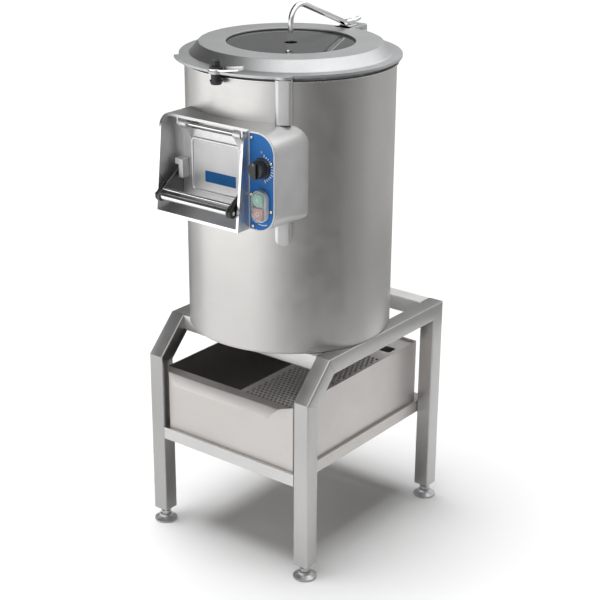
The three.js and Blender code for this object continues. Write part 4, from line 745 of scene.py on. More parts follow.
class PEELER_OT_stand(bpy.types.Operator):
    """Build the tube stand, its shelf and its levelling feet."""

    bl_idname = "peeler.stand"
    bl_label = "Stand"

    def execute(self, context):
        edge = context.scene.peeler_shape.sheet_edge
        for side in ("left", "right"):
            dress(side_frame(side), "base", "satin_steel", f"{side}_side_frame")
        for node in ("front_cross_tube", "rear_cross_tube"):
            dress(cross_tube(node), "base", "satin_steel", node)
        for node, axis, side in (
                ("front_shelf_rail", "X", 1), ("rear_shelf_rail", "X", -1),
                ("left_tray_runner", "Y", 1), ("right_tray_runner", "Y", -1)):
            dress(angle_rail(node, axis, side), "base", "satin_steel", node, edge=edge)
        for place in ("front_left", "front_right", "rear_left", "rear_right"):
            self.foot(place)
        return {"FINISHED"}

    @staticmethod
    def foot(place):
        """A pressed pad with a swivel collar, a hexagon nut and a threaded stem."""
        node = f"{place}_foot"
        low, high = BOX[node]
        centre = MIDDLE[node].xy
        radius = (high.x - low.x) / 2
        pad = [
            (0.0, 0.0), (radius - 0.002, 0.0), (radius, 0.0015), (radius, FOOT.edge),
            (radius - 0.0035, FOOT.edge + 0.0014), (FOOT.collar + 0.0015, FOOT.crown),
            (FOOT.collar, FOOT.collar_top), (STEM.radius, FOOT.collar_top + 0.0015)]
        thread = []
        for i in range(int((high.z - FOOT.nut_top) / STEM.pitch)):
            z = FOOT.nut_top + i * STEM.pitch
            thread += [(STEM.radius, z), (STEM.radius - STEM.depth, z + STEM.pitch / 2)]
        bm = bmesh.new()
        revolve(bm, pad + thread + [(STEM.radius, high.z), (0.0, high.z)], centre, ROUND_STEPS)
        nut = FOOT.nut / math.cos(math.pi / 6)
        rod(bm, nut, (*centre, FOOT.collar_top + 0.001), (*centre, FOOT.nut_top), 6)
        soft = {"edge": 0.0003, "angle": 35.0, "segments": 2}
        finish(bm, f"{node}_pad", "zinc", f"foot_{place}", "zinc_steel", node, **soft)


# Peel tray and strainer

class PEELER_OT_tray(bpy.types.Operator):
    """Build the sheet steel tray with its pull lip, and the perforated strainer in it."""

    bl_idname = "peeler.tray"
    bl_label = "Tray and strainer"

    def execute(self, context):
        shape = context.scene.peeler_shape
        self.tray(shape)
        self.strainer(shape)
        return {"FINISHED"}

    @staticmethod
    def lip(front, half, top):
        """The rim's flat strip and the flap that hangs from it."""
        rim_half = half - TRAY.inset
        edge = front - TRAY.rim
        rows = (
            (half, front + TRAY.sheet, top), (rim_half, edge, top),
            (rim_half - TRAY.flap_inset, edge - TRAY.reach, top - TRAY.drop))
        bm = bmesh.new()
        pairs = [(bm.verts.new((-x, y, z)), bm.verts.new((x, y, z))) for x, y, z in rows]
        for (a, b), (c, d) in zip(pairs, pairs[1:]):
            bm.faces.new((a, b, d, c))
        fold = [e for e in bm.edges if e.verts[0] in pairs[1] and e.verts[1] in pairs[1]]
        round_off(bm, fold, TRAY.fold)
        bmesh.ops.recalc_face_normals(bm, faces=bm.faces)
        if bm.faces[:][0].normal.z < 0:
            bmesh.ops.reverse_faces(bm, faces=bm.faces)
        bmesh.ops.solidify(bm, geom=bm.faces[:], thickness=TRAY.sheet)
        return bm

    def tray(self, shape):
        low, high = BOX["peel_tray"]
        front = low.y + TRAY.rim + TRAY.reach
        bm = bmesh.new()
        slab(bm, (low.x, front, low.z), high)
        bmesh.ops.delete(bm, geom=[f for f in bm.faces if f.normal.z > 0.5], context="FACES")
        upright = [e for e in bm.edges if abs((e.verts[0].co - e.verts[1].co).normalized().z) > 0.9]
        round_off(bm, upright, TRAY.corner, 4)
        bmesh.ops.recalc_face_normals(bm, faces=bm.faces)
        bmesh.ops.solidify(bm, geom=bm.faces[:], thickness=TRAY.sheet)
        merge(bm, self.lip(front, high.x, high.z))
        # Ledges that carry the strainer at the front and the rear.
        strainer_low, strainer_high = BOX["tray_strainer"]
        top = strainer_high.z - STRAINER.sheet - GAP
        front_wall, rear_wall = front + TRAY.sheet, high.y - TRAY.sheet
        for y0, y1 in ((front_wall, front_wall + TRAY.ledge), (rear_wall - TRAY.ledge, rear_wall)):
            slab(bm, (strainer_low.x, y0, top - TRAY.sheet), (high.x - TRAY.sheet, y1, top))
        piece = soften(new_object(bm, "peel_tray_sheet", "sheet", "cheek"), shape.sheet_edge, 35.0, 2)
        # The tray's floor under the strainer takes the dark steel: painted shade.
        for polygon in piece.data.polygons:
            if polygon.normal.z > 0.9 and polygon.center.z < low.z + 0.01:
                polygon.material_index = 1
        mount(piece, "tray", "sheet_steel", "peel_tray")

    @staticmethod
    def holed_tile(pitch, radius):
        """One square of the perforated field, with a hole in its middle."""
        bm = bmesh.new()
        half = pitch / 2
        rim = ((-half, -half), (0, -half), (half, -half), (half, half), (0, half), (-half, half))
        edges = loop(bm, [(x, y, 0) for x, y in rim])[1]
        edges += edges_round(bmesh.ops.create_circle(bm, cap_ends=False, segments=10, radius=radius)["verts"])
        bmesh.ops.triangle_fill(bm, use_beauty=True, use_dissolve=False, edges=edges)
        return to_mesh(bm, "tile")

    def strainer(self, shape):
        low, high = BOX["tray_strainer"]
        pitch = shape.hole_pitch
        half = pitch / 2
        x0, y0 = low.x + STRAINER.margin, low.y + STRAINER.margin
        across = int((high.x - STRAINER.margin - x0) / pitch)
        along = int((high.y - STRAINER.plain - y0) / pitch)
        x0 = (low.x + high.x - across * pitch) / 2
        tile = self.holed_tile(pitch, shape.hole_size / 2)
        bm = bmesh.new()
        for row in range(along):
            odd = row % 2
            y = y0 + (row + 0.5) * pitch
            for column in range(across - odd):
                count = len(bm.verts)
                bm.from_mesh(tile)
                bm.verts.ensure_lookup_table()
                place = (x0 + odd * half + (column + 0.5) * pitch, y, high.z)
                bmesh.ops.translate(bm, verts=bm.verts[count:], vec=place)
            for x in (x0, x0 + across * pitch - half) if odd else ():
                corners = ((x, y - half), (x + half, y - half), (x + half, y + half), (x, y + half))
                bm.faces.new([bm.verts.new((u, v, high.z)) for u, v in corners])
        bpy.data.meshes.remove(tile)
        bmesh.ops.remove_doubles(bm, verts=bm.verts, dist=1e-5)
        # The plain border grows out of the perforated field, one side after another.
        for axis, old, new in (
                (0, x0, low.x), (0, x0 + across * pitch, high.x),
                (1, y0, low.y), (1, y0 + along * pitch, high.y)):
            border = [
                e for e in bm.edges if e.is_boundary
                and all(abs(v.co[axis] - old) < 1e-5 for v in e.verts)]
            for vert in verts_in(bmesh.ops.extrude_edge_only(bm, edges=border)["geom"]):
                vert.co[axis] = new
        bmesh.ops.recalc_face_normals(bm, faces=bm.faces)
        if sum(face.normal.z for face in bm.faces) < 0:
            bmesh.ops.reverse_faces(bm, faces=bm.faces)
        raise_faces(bm, bm.faces[:], (0, 0, -STRAINER.sheet))
        slab(
            bm, (low.x, low.y + STRAINER.notch, low.z),
            (low.x + STRAINER.sheet, high.y - STRAINER.notch, high.z - STRAINER.sheet))
        rear = high.y - SLOT.from_rear
        points = rounded(
            STRAINER.slot_left, STRAINER.slot_right, rear - SLOT.depth, rear, [SLOT.corner] * 4)
        piece = new_object(bm, "strainer_sheet", "strainer")
        carve(piece, tool(prism, "Z", points, high.z - 0.01, high.z + 0.01))
        dress(piece, "strainer", "sheet_steel", "tray_strainer")


# Drum, chamber and drive

class PEELER_OT_drum(bpy.types.Operator):
    """Build the drum's shell, base and top ring."""

    bl_idname = "peeler.drum"
    bl_label = "Drum"

    def execute(self, context):
        self.shell()
        self.base()
        self.ring(context.scene.peeler_shape.edge / 3)
        self.weld()
        return {"FINISHED"}

    @staticmethod
    def shell():
        """The rolled sheet, with the outlet and the holes for the cable behind and in front."""
        profile = sleeve(DRUM_RADIUS - DRUM.wall, DRUM_RADIUS, SHELL_LOW.z, SHELL_HIGH.z)
        piece = shaped("drum_sheet", "drum", revolve, profile, closed=True)
        way = Vector((math.sin(LOBE.angle), -math.cos(LOBE.angle), 0))
        duct = Vector((*AXIS, BOX["lower_cable_duct"][0].z + DUCT.half)) + way * DRUM_RADIUS
        gland = Vector((0, AXIS_Y + DRUM_RADIUS, MIDDLE["cable_gland"].z))
        through = Vector((0, 0.02, 0))
        carve(
            piece, outlet_tool(), tool(rod, DRUM.gland_hole, gland - through, gland + through),
            tool(rod, DRUM.duct_hole, duct - way * 0.02, duct + way * 0.02))
        dress(piece, "base", "drum_steel", "drum_shell")

    @staticmethod
    def base():
        """The bottom plate with its rolled edge and the waste hole."""
        low, high = BOX["drum_base_plate"]
        outer = (high.x - low.x) / 2
        plate = shaped("drum_base_sheet", "plate", revolve, [
            (0, low.z), (outer - DRUM.roll, low.z), (outer, low.z + DRUM.roll), (outer, high.z), (0, high.z)])
        waste = (MIDDLE["waste_pipe"].x, AXIS_Y)
        carve(plate, tool(rod, DRUM.waste_hole, (*waste, low.z - 0.01), (*waste, high.z + 0.01), ROUND_STEPS))
        dress(plate, "base", "drum_steel", "drum_base_plate")

    @staticmethod
    def ring(edge):
        low, high = RING_LOW.z, RING_HIGH.z
        collar = DRUM_RADIUS - DRUM.wall - GAP
        shoulder = SHELL_HIGH.z + GAP
        piece = shaped("drum_rim_ring", "machined", revolve, [
            (DRUM.mouth, low), (collar, low), (collar, shoulder), (RING_RADIUS, shoulder),
            (RING_RADIUS, high), (DRUM.mouth, high)], closed=True)
        dress(piece, "base", "cast_aluminium", "drum_top_ring", edge=edge, segments=2)

    @staticmethod
    def weld():
        """The shell's upright weld, dressed flush, behind on the left."""
        x, y = DRUM_RADIUS * math.cos(WELD.angle), AXIS_Y + DRUM_RADIUS * math.sin(WELD.angle)
        ends = ((x, y, SHELL_LOW.z + 0.001), (x, y, SHELL_HIGH.z - 0.001))
        dress(shaped("drum_weld", "drum", rod, WELD.radius, *ends, WELD.steps), "base", "drum_steel")


class PEELER_OT_chamber(bpy.types.Operator):
    """Build the abrasive lining and turntable, and finish the drive under them."""

    bl_idname = "peeler.chamber"
    bl_label = "Chamber and drive"

    def execute(self, context):
        low, high = BOX["abrasive_liner"]
        outer = (high.x - low.x) / 2
        profile = sleeve(outer - LINER_WALL, outer, low.z, high.z)
        liner = carve(shaped("abrasive_lining", "grit", revolve, profile, closed=True), outlet_tool())
        dress(liner, "base", "abrasive_coat", "abrasive_liner")
        self.table()
        for look, nodes in (
                ("machined", ("chamber_floor", "driven_pulley", "motor_pulley")),
                ("polished", ("upper_bearing", "lower_bearing", "main_shaft", "motor_shaft")),
                ("rubber", ("shaft_seal", "drive_belt")), ("cast", ("bearing_housing",)),
                ("motor", ("drive_motor",)), ("zinc", ("motor_plate",)), ("drum", ("waste_pipe",)),
                ("pale", ("switch_block",))):
            for node in nodes:
                NODES[node].data.materials.clear()
                NODES[node].data.materials.append(FINISHES[look])
        return {"FINISHED"}

    @staticmethod
    def ridge(bm, top, turn):
        """A rounded ridge on the turntable, narrower at its top."""
        ridge = bmesh.ops.create_cube(bm, size=1.0)["verts"]
        for vert in ridge:
            high_end = vert.co.z > 0
            trim = RIDGE.half if high_end else 0.0
            vert.co.x = RIDGE.inner + trim if vert.co.x < 0 else RIDGE.inner + RIDGE.length - trim
            vert.co.y = math.copysign(RIDGE.half * (RIDGE.top if high_end else 1.0), vert.co.y)
            vert.co.z = top + RIDGE.height - 0.0005 if high_end else top - 0.002
        made = round_off(bm, edges_round(ridge), RIDGE.edge, clamp=True)
        verts = {v for f in made["faces"] for v in f.verts} | {v for v in ridge if v.is_valid}
        linked = list(verts | {v for vert in verts for face in vert.link_faces for v in face.verts})
        turn_and_move(bm, linked, turn, "Z", (*AXIS, 0))

    def table(self):
        low, high = BOX["turntable"]
        top = high.z - TABLE.dome
        bottom = top - TABLE.thickness
        outer, edge = (high.x - low.x) / 2, TABLE.edge
        bm = bmesh.new()
        revolve(bm, [
            (0, low.z), (TABLE.hub, low.z), (TABLE.hub, bottom), (outer - edge, bottom),
            (outer, bottom + edge), (outer, top - edge), (outer - edge, top), (TABLE.dome_foot, top),
            (TABLE.dome_foot - 0.006, top + 0.002), (TABLE.dome_radius + 0.004, high.z - 0.0015),
            (TABLE.dome_radius, high.z), (0, high.z),
        ], steps=128)
        for i in range(TABLE.ridges):
            self.ridge(bm, top, i * 2 * math.pi / TABLE.ridges)
        finish(bm, "abrasive_turntable", "grit", "turntable", "abrasive_coat", "turntable", angle=40.0)


# Lid, window and spout

def flange_reach(angle):
    """How far the lid's flange reaches at an angle from the front, with its sector, ear and lobe."""
    reach = LID_HIGH.x
    if -LID_FRONT.left <= angle <= LID_FRONT.right:
        reach = LID_FRONT.radius
    for radius, distance, place in ((EAR.radius, EAR.reach, 0.0), (LOBE.radius, LOBE.reach, LOBE.angle)):
        aside = distance * math.sin(angle - place)
        if abs(aside) < radius and math.cos(angle - place) > 0:
            reach = max(reach, distance * math.cos(angle - place) + math.sqrt(radius ** 2 - aside ** 2))
    behind = -math.cos(angle)
    if behind > 0 and abs(reach * math.sin(angle)) < HINGE.notch:
        reach = (LID.cone_foot - 0.0006) / behind
    return reach


class PEELER_OT_lid(bpy.types.Operator):
    """Build the cast lid, its seal, its window and its hinge."""

    bl_idname = "peeler.lid"
    bl_label = "Lid"

    def execute(self, context):
        edge = context.scene.peeler_shape.edge
        base, top = LID_LOW.z, LID_HIGH.z
        flange = base + LID.flange
        self.flange(base, flange, edge)
        bm = bmesh.new()
        self.cone(bm, base, flange, top)
        self.tongue(bm, top)
        finish(bm, "lid_cone_casting", "lid", "lid", "cast_aluminium", "lid_casting", edge=edge, angle=24.0)
        self.window()
        self.seal()
        self.hinge(edge)
        return {"FINISHED"}

    @staticmethod
    def flange(base, flange, edge):
        """The flat flange, drawn round by its reach at each angle."""
        bm = bmesh.new()
        rings = []
        for inner in (True, False):
            ring = bmesh.ops.create_circle(bm, cap_ends=False, segments=LID_STEPS, radius=1.0)["verts"]
            for vert in ring:
                angle = math.atan2(vert.co.x, -vert.co.y)
                reach = LID_INNER.foot + 0.002 if inner else flange_reach(angle)
                vert.co = (reach * math.sin(angle), AXIS_Y - reach * math.cos(angle), base)
            rings += edges_round(ring)
        bmesh.ops.bridge_loops(bm, edges=rings)
        raise_faces(bm, bm.faces[:], (0, 0, flange - base))
        piece = new_object(bm, "lid_flange_casting", "lid")
        ear = (0, ahead(EAR.reach))
        carve(piece, tool(rod, EAR.hole, (*ear, base - 0.01), (*ear, flange + 0.01)))
        dress(piece, "lid", "cast_aluminium", "lid_casting", edge=edge * 0.8, angle=40.0)

    @staticmethod
    def cone(bm, base, flange, top):
        """The sloping dome with a filleted foot and a recessed seat for the window."""
        slope = math.atan2(top - flange, LID.cone_foot - LID.cone_top)
        centre = (LID.cone_foot + LID.fillet * math.tan(slope / 2), flange + LID.fillet)
        foot = arc(centre, LID.fillet, math.pi * 1.5, math.pi * 1.5 - slope, 6)
        under = top - LID.wall
        revolve(bm, [
            (LID.opening, under), (LID_INNER.top, under), (LID_INNER.foot, base), (foot[0][0], base),
            *foot, (LID.cone_top, top), (LID.opening, top),
        ], closed=True)

    @staticmethod
    def tongue(bm, top):
        """The bridge behind that carries the spout, with two hinge lugs under it."""
        y, z = AXIS_Y + HINGE.back, MIDDLE["lid_hinge_pin"].z
        rear = y + HINGE.knuckle
        points = rounded(
            -TONGUE.half, TONGUE.half, AXIS_Y + TONGUE.front, rear, [0.004, 0.004, 0.006, 0.006])
        prism(bm, "Z", points, top - TONGUE.thickness, top)
        lug = arc((y, z), HINGE.knuckle, math.pi, 2 * math.pi, 12)
        lug += [(rear, top - 0.002), (y - HINGE.knuckle, top - 0.002)]
        for x0, x1 in both_sides(HINGE.lug_inner, HINGE.lug_outer):
            prism(bm, "X", lug, x0, x1)

    @staticmethod
    def window():
        low, high = BOX["lid_window"]
        outer = (high.x - low.x) / 2
        pane = shaped("window_pane", "pane", revolve, [
            (WINDOW.hole, low.z), (outer, low.z), (outer, high.z), (WINDOW.hole + WINDOW.chamfer, high.z),
            (WINDOW.hole, high.z - WINDOW.chamfer)], closed=True)
        dress(pane, "lid", "smoked_glass", "lid_window")
        # A thin black ring round the pane paints the shade of the opening's inner wall.
        inner, outer, foot = LID.opening - 0.0013, LID.opening - 0.0001, high.z - 0.0001
        bead = shaped("window_seal_bead", "rubber", revolve, [
            (inner, foot), (outer, foot), (outer, high.z + 0.0016), (inner, high.z + 0.0010)], closed=True)
        dress(bead, "lid", "black_rubber")
        # A small stud stands on the pane towards its front, on a dark washer.
        x = WINDOW.stud_reach * math.sin(WINDOW.stud_angle)
        y = ahead(WINDOW.stud_reach * math.cos(WINDOW.stud_angle))
        for name, look, slot, radius, bottom, top, far in (
                ("window_stud", "polished", "bright_steel", 0.0030, 0.0008, 0.0034, 0.0022),
                ("window_washer", "rubber", "black_rubber", 0.0046, 0.0, 0.0010, None)):
            piece = shaped(
                name, look, rod, radius, (x, y, high.z + bottom), (x, y, high.z + top), SCREW_STEPS, far)
            dress(piece, "lid", slot, edge=0.0003, segments=2)

    @staticmethod
    def seal():
        low, high = BOX["lid_seal"]
        outer = (high.x - low.x) / 2
        inner, edge = outer - SEAL.width, outer - SEAL.edge
        band = shaped("lid_seal_band", "grey_rubber", revolve, [
            (inner, low.z), (edge, low.z), (outer, (low.z + high.z) / 2), (edge, high.z), (inner, high.z),
        ], closed=True)
        dress(band, "lid", "grey_rubber", "lid_seal")

    @staticmethod
    def hinge(edge):
        """The bracket on the drum with its arm, the pin through it, and its four screws."""
        low, high = BOX["lid_hinge_bracket"]
        pin_low, pin_high = BOX["lid_hinge_pin"]
        y, z = AXIS_Y + HINGE.back, MIDDLE["lid_hinge_pin"].z
        drum_back = AXIS_Y + DRUM_RADIUS
        plate_back = drum_back + HINGE.plate
        top = RING_HIGH.z - 0.008
        outline = rounded(low.x, high.x, low.z, top, [0.006, 0.006, 0.002, 0.002])
        piece = shaped(
            "lid_hinge_bracket_casting", "cast", prism, "Y", outline, AXIS_Y + DRUM_RADIUS / 2, plate_back)
        arm = arc((y, z), HINGE.knuckle, -0.2, math.pi * 1.05, 14)
        foot = low.z + HINGE.foot
        arm += [(drum_back, top), (drum_back, foot), (plate_back - 0.001, foot)]
        carve(piece, tool(prism, "X", arm, -HINGE.arm, HINGE.arm), how="UNION")
        carve(
            piece, drum_tool(DRUM_RADIUS + GAP, low.z - 0.01, RING_HIGH.z + 0.01),
            drum_tool(RING_RADIUS + GAP, RING_HIGH.z - 0.005, RING_HIGH.z + 0.01),
            tool(rod, HINGE.pin + GAP, (-0.05, y, z), (0.05, y, z)))
        dress(piece, "base", "cast_aluminium", "lid_hinge_bracket", edge=edge / 2, angle=35.0, segments=2)
        bm = bmesh.new()
        rod(bm, HINGE.pin, (pin_low.x, y, z), (pin_high.x, y, z))
        for x in (pin_low.x, pin_high.x):
            rod(bm, HINGE.pin + HINGE.head, (x - 0.0008, y, z), (x + 0.0008, y, z))
        finish(
            bm, "lid_hinge_pin_bar", "polished", "base", "bright_steel", "lid_hinge_pin",
            edge=0.0004, segments=2)
        bm = bmesh.new()
        for x in (-HINGE.screw_x, HINGE.screw_x):
            for height in (low.z + HINGE.screw_z, top - HINGE.screw_z):
                ends = ((x, plate_back - 0.0005, height), (x, plate_back + 0.0022, height))
                rod(bm, HINGE.screw, *ends, SCREW_STEPS, 0.0030)
        finish(bm, "hinge_bracket_screws", "zinc", "base", "zinc_steel", edge=0.0003, segments=2)


class PEELER_OT_spout(bpy.types.Operator):
    """Build the bent water spout, its clamp and its hose barb."""

    bl_idname = "peeler.spout"
    bl_label = "Water spout"

    def execute(self, context):
        self.pipe()
        self.clamp(context.scene.peeler_shape.edge)
        return {"FINISHED"}

    def pipe(self):
        """A tube that rises from over the window, bends over and falls back to its clamp."""
        tip = BOX["lid_window"][1].z + SPOUT.tip
        fall = math.atan(SPOUT.slope)
        run = (SPOUT.end - SPOUT.bend * (1 + math.sin(fall))) / math.cos(fall)
        bm = bmesh.new()
        ring = bmesh.ops.create_circle(
            bm, cap_ends=False, segments=24, radius=SPOUT.radius - SPOUT.wall / 2,
            matrix=Matrix.Translation((*AXIS, tip)))["verts"]
        front = self.extend(bm, edges_round(ring), Vector((0, 0, SPOUT.rise)))
        bend = bmesh.ops.spin(
            bm, geom=front, cent=(0, AXIS_Y + SPOUT.bend, tip + SPOUT.rise), axis=(-1, 0, 0),
            angle=math.pi / 2 + fall, steps=20, use_merge=False)
        front = [item for item in bend["geom_last"] if isinstance(item, bmesh.types.BMEdge)]
        self.extend(bm, front, Vector((0, math.cos(fall), -math.sin(fall))) * run)
        pipe = new_object(bm, "spout_tube", "polished")
        wall = pipe.modifiers.new("wall", "SOLIDIFY")
        wall.thickness = SPOUT.wall
        wall.offset = 0.0
        bake(pipe)
        dress(pipe, "lid", "bright_steel", "spout_pipe", angle=40.0)

    @staticmethod
    def extend(bm, edges, way):
        """Extrudes a ring of edges along a line and returns the new ring."""
        made = bmesh.ops.extrude_edge_only(bm, edges=edges)["geom"]
        verts = verts_in(made)
        bmesh.ops.translate(bm, verts=verts, vec=way)
        chosen = set(verts)
        return [e for e in made if isinstance(e, bmesh.types.BMEdge) and set(e.verts) <= chosen]

    @staticmethod
    def clamp(edge):
        """The block on its foot plate, and the barb with the plate's two screws."""
        low, high = BOX["spout_clamp"]
        front, rear = AXIS_Y + CLAMP.front, AXIS_Y + CLAMP.rear
        bm = bmesh.new()
        outline = rounded(-CLAMP.half, CLAMP.half, low.z, low.z + CLAMP.height, [0, 0, 0.006, 0.006])
        prism(bm, "Y", outline, front, rear)
        prism(bm, "Z", rounded(low.x, high.x, low.y, rear, [0.004] * 4), low.z, low.z + CLAMP.foot)
        block = new_object(bm, "spout_clamp_block", "polished")
        bm = bmesh.new()
        length = high.y - rear + 0.002
        bore = CLAMP.barb_bore
        barb = [
            (bore, -0.006), (0.0037, -0.006), (0.0037, length - 0.010), (0.0044, length - 0.0085),
            (0.0038, length - 0.005), (0.0044, length - 0.004), (0.0036, length), (bore, length)]
        verts = revolve(bm, barb, ORIGIN, SMALL_STEPS, closed=True)
        turn_and_move(bm, verts, CLAMP.barb_lift - math.pi / 2, "X", (0, rear, low.z + CLAMP.pipe))
        y, z = front + 0.006, low.z + CLAMP.foot
        for x in (-CLAMP.screw_x, CLAMP.screw_x):
            rod(bm, CLAMP.screw, (x, y, z), (x, y, z + 0.0016), 20)
        finish(bm, "hose_barb", "polished", "lid", "bright_steel", "spout_clamp", edge=0.0002, segments=2)
        dress(block, "lid", "bright_steel", "spout_clamp", edge=edge / 2)


class PEELER_OT_latch(bpy.types.Operator):
    """Build the lid latch: knob, lever and catch."""

    bl_idname = "peeler.latch"
    bl_label = "Lid latch"

    def execute(self, context):
        y = ahead(EAR.reach)
        top = BOX["latch_lever"][0].z + LEVER.thickness
        self.lever(y, top)
        self.knob(y, top + GAP)
        self.catch(y)
        return {"FINISHED"}

    @staticmethod
    def lever(y, top):
        """A flat arm with a folded edge, which bends up towards its end."""
        end, tip = LEVER.length, LEVER.tip
        bm = bmesh.new()
        outline = arc((0, y), LEVER.hub, math.radians(38), math.radians(322), 24)
        outline += [
            (LEVER.neck, y - LEVER.half), (end - 0.001, y - tip), (end, y - tip + 0.001),
            (end, y + tip - 0.001), (end - 0.001, y + tip), (LEVER.neck, y + LEVER.half)]
        prism(bm, "Z", outline, top - LEVER.thickness, top)
        slab(bm, (LEVER.hub, y + tip - LEVER.fold_width, top - 0.001), (end, y + tip, top + LEVER.fold))
        for x in (0.016, 0.026, 0.036):
            bmesh.ops.bisect_plane(
                bm, geom=bm.verts[:] + bm.edges[:] + bm.faces[:], plane_co=(x, 0, 0), plane_no=(1, 0, 0))
        for vert in bm.verts:
            along = max(0.0, (vert.co.x - LEVER.start) / (end - LEVER.start))
            vert.co.z += LEVER.rise * along ** LEVER.bend
        finish(bm, "latch_lever_plate", "polished", "latch", "bright_steel", "latch_lever", edge=0.0007)

    @staticmethod
    def knob(y, foot):
        """A lobed knob with a dished top, on a collar and a spindle."""
        low, high = BOX["latch_knob"]
        bm = bmesh.new()
        prism(bm, "Z", lobed((0, y), LATCH_KNOB.radius, LATCH_KNOB.depth, LATCH_KNOB.lobes, 16), foot, high.z)
        crown = [
            face for face in bm.faces
            if face.normal.z > 0.9 and face.calc_center_median().z > high.z - 1e-5]
        bmesh.ops.inset_region(bm, faces=crown, thickness=LATCH_KNOB.rim, depth=0.0)
        bmesh.ops.inset_region(bm, faces=crown, thickness=LATCH_KNOB.step, depth=-LATCH_KNOB.dish)
        rod(bm, (high.x - low.x) / 2, (0, y, foot), (0, y, foot + 0.003), ROUND_STEPS)
        rod(bm, LATCH_KNOB.spindle, (0, y, low.z), (0, y, foot + 0.001))
        finish(
            bm, "latch_knob_head", "black", "latch", "black_plastic", "latch_knob", edge=0.0006, angle=35.0)

    @staticmethod
    def catch(y):
        """The catch under the lid, with a flat towards the drum while it is open."""
        low, high = BOX["latch_catch"]
        shoulder = RING_HIGH.z - CATCH.shoulder
        catch = shaped("latch_catch_cam", "black", revolve, [
            (0, low.z), (CATCH.bottom - 0.001, low.z), (CATCH.bottom, low.z + 0.001), (CATCH.top, shoulder),
            (CATCH.top, high.z - 0.0006), (CATCH.top - 0.0006, high.z), (0, high.z),
        ], (0.0, y), ROUND_STEPS)
        # Above its shoulder the catch is wide only on the side that never turns to the drum's lip.
        profile = sleeve(CATCH.neck, 0.02, shoulder, high.z + 0.01)
        clear = tool(revolve, profile, (0.0, y), ROUND_STEPS, closed=True)
        carve(clear, tool(slab, (0, y - 0.03, shoulder - 0.01), (0.03, y, high.z + 0.02)))
        flat = y + CATCH.neck
        carve(catch, clear, tool(slab, (-0.02, flat, low.z - 0.01), (0.02, flat + 0.02, high.z + 0.01)))
        dress(catch, "latch", "black_plastic", "latch_catch", edge=0.0004, segments=2)


# Cable duct and gland

class PEELER_OT_duct(bpy.types.Operator):
    """Build the cable duct above and below the control box, and the gland behind."""

    bl_idname = "peeler.duct"
    bl_label = "Cable duct"

    def execute(self, context):
        for node, round_end in (("upper_cable_duct", False), ("lower_cable_duct", True)):
            low, high = BOX[node]
            piece = self.stretch(f"{node}_cover", low.z, high.z, round_end)
            dress(piece, "base", "drum_steel", node, edge=0.0007, angle=35.0)
        self.gland()
        return {"FINISHED"}

    @staticmethod
    def cover(name, finishes, inset, bottom, top, end):
        """The duct's form, smaller all round by an inset, with a round lower end where one is said."""
        half, corner = DUCT.half - inset, DUCT.corner - inset
        front = -DRUM_RADIUS - DUCT.depth + inset
        bm = bmesh.new()
        points = rounded(-half, half, front, -DRUM_RADIUS * 0.8, [corner, corner, 0, 0])
        prism(bm, "Z", points, bottom, top)
        piece = new_object(bm, name, *finishes)
        if end is None:
            return piece
        low, high = end
        points = rounded(-half, half, low + inset, high + 0.02, [half - 1e-4, half - 1e-4, 0, 0], 14)
        return carve(
            piece, tool(prism, "Y", points, -DRUM_RADIUS * 1.5, -DRUM_RADIUS * 0.7), how="INTERSECT")

    def stretch(self, name, low, high, round_end):
        end = (low, high) if round_end else None
        piece = self.cover(name, ["cast"], 0.0, low, high, end)
        bottom, top = (low, high + 0.01) if round_end else (low + DUCT.wall, high - DUCT.wall)
        carve(piece, self.cover("hollow", [], DUCT.wall, bottom, top, end))
        piece.data.transform(Matrix.Translation((*AXIS, 0)) @ Matrix.Rotation(LOBE.angle, 4, "Z"))
        return carve(
            piece, drum_tool(DRUM_RADIUS + GAP, low - 0.02, high + 0.02),
            drum_tool(RING_RADIUS + GAP, RING_HIGH.z - DUCT.lip, RING_HIGH.z + 0.02))

    @staticmethod
    def gland():
        """A hexagon gland with a domed nut, at the drum's back."""
        bm = bmesh.new()
        verts = revolve(bm, [
            (GLAND.bore, -0.012), (0.0073, -0.012), (0.0073, 0.001), (0.0098, 0.001), (0.0098, 0.0135),
            (0.0092, 0.018), (0.0075, 0.0215), (0.0058, 0.022), (GLAND.bore, 0.0215),
        ], ORIGIN, ROUND_STEPS, closed=True)
        for bottom, top in ((0.0, 0.006), (0.0085, 0.0145)):
            outline = []
            for segments, radius in ((6, GLAND.nut), (36, GLAND.hole)):
                outline += bmesh.ops.create_circle(
                    bm, cap_ends=False, segments=segments, radius=radius)["verts"]
            faces = bmesh.ops.triangle_fill(
                bm, use_beauty=True, use_dissolve=False, edges=edges_round(outline))["geom"]
            faces = [item for item in faces if isinstance(item, bmesh.types.BMFace)]
            both = outline + raise_faces(bm, faces, (0, 0, top - bottom))
            bmesh.ops.translate(bm, verts=both, vec=(0, 0, bottom))
            verts += both
        place = (0, AXIS_Y + DRUM_RADIUS + GAP, MIDDLE["cable_gland"].z)
        turn_and_move(bm, verts, -math.pi / 2, "X", place)
        finish(
            bm, "cable_gland_nut", "black", "base", "black_plastic", "cable_gland", edge=0.0003, segments=2)


# Front casting

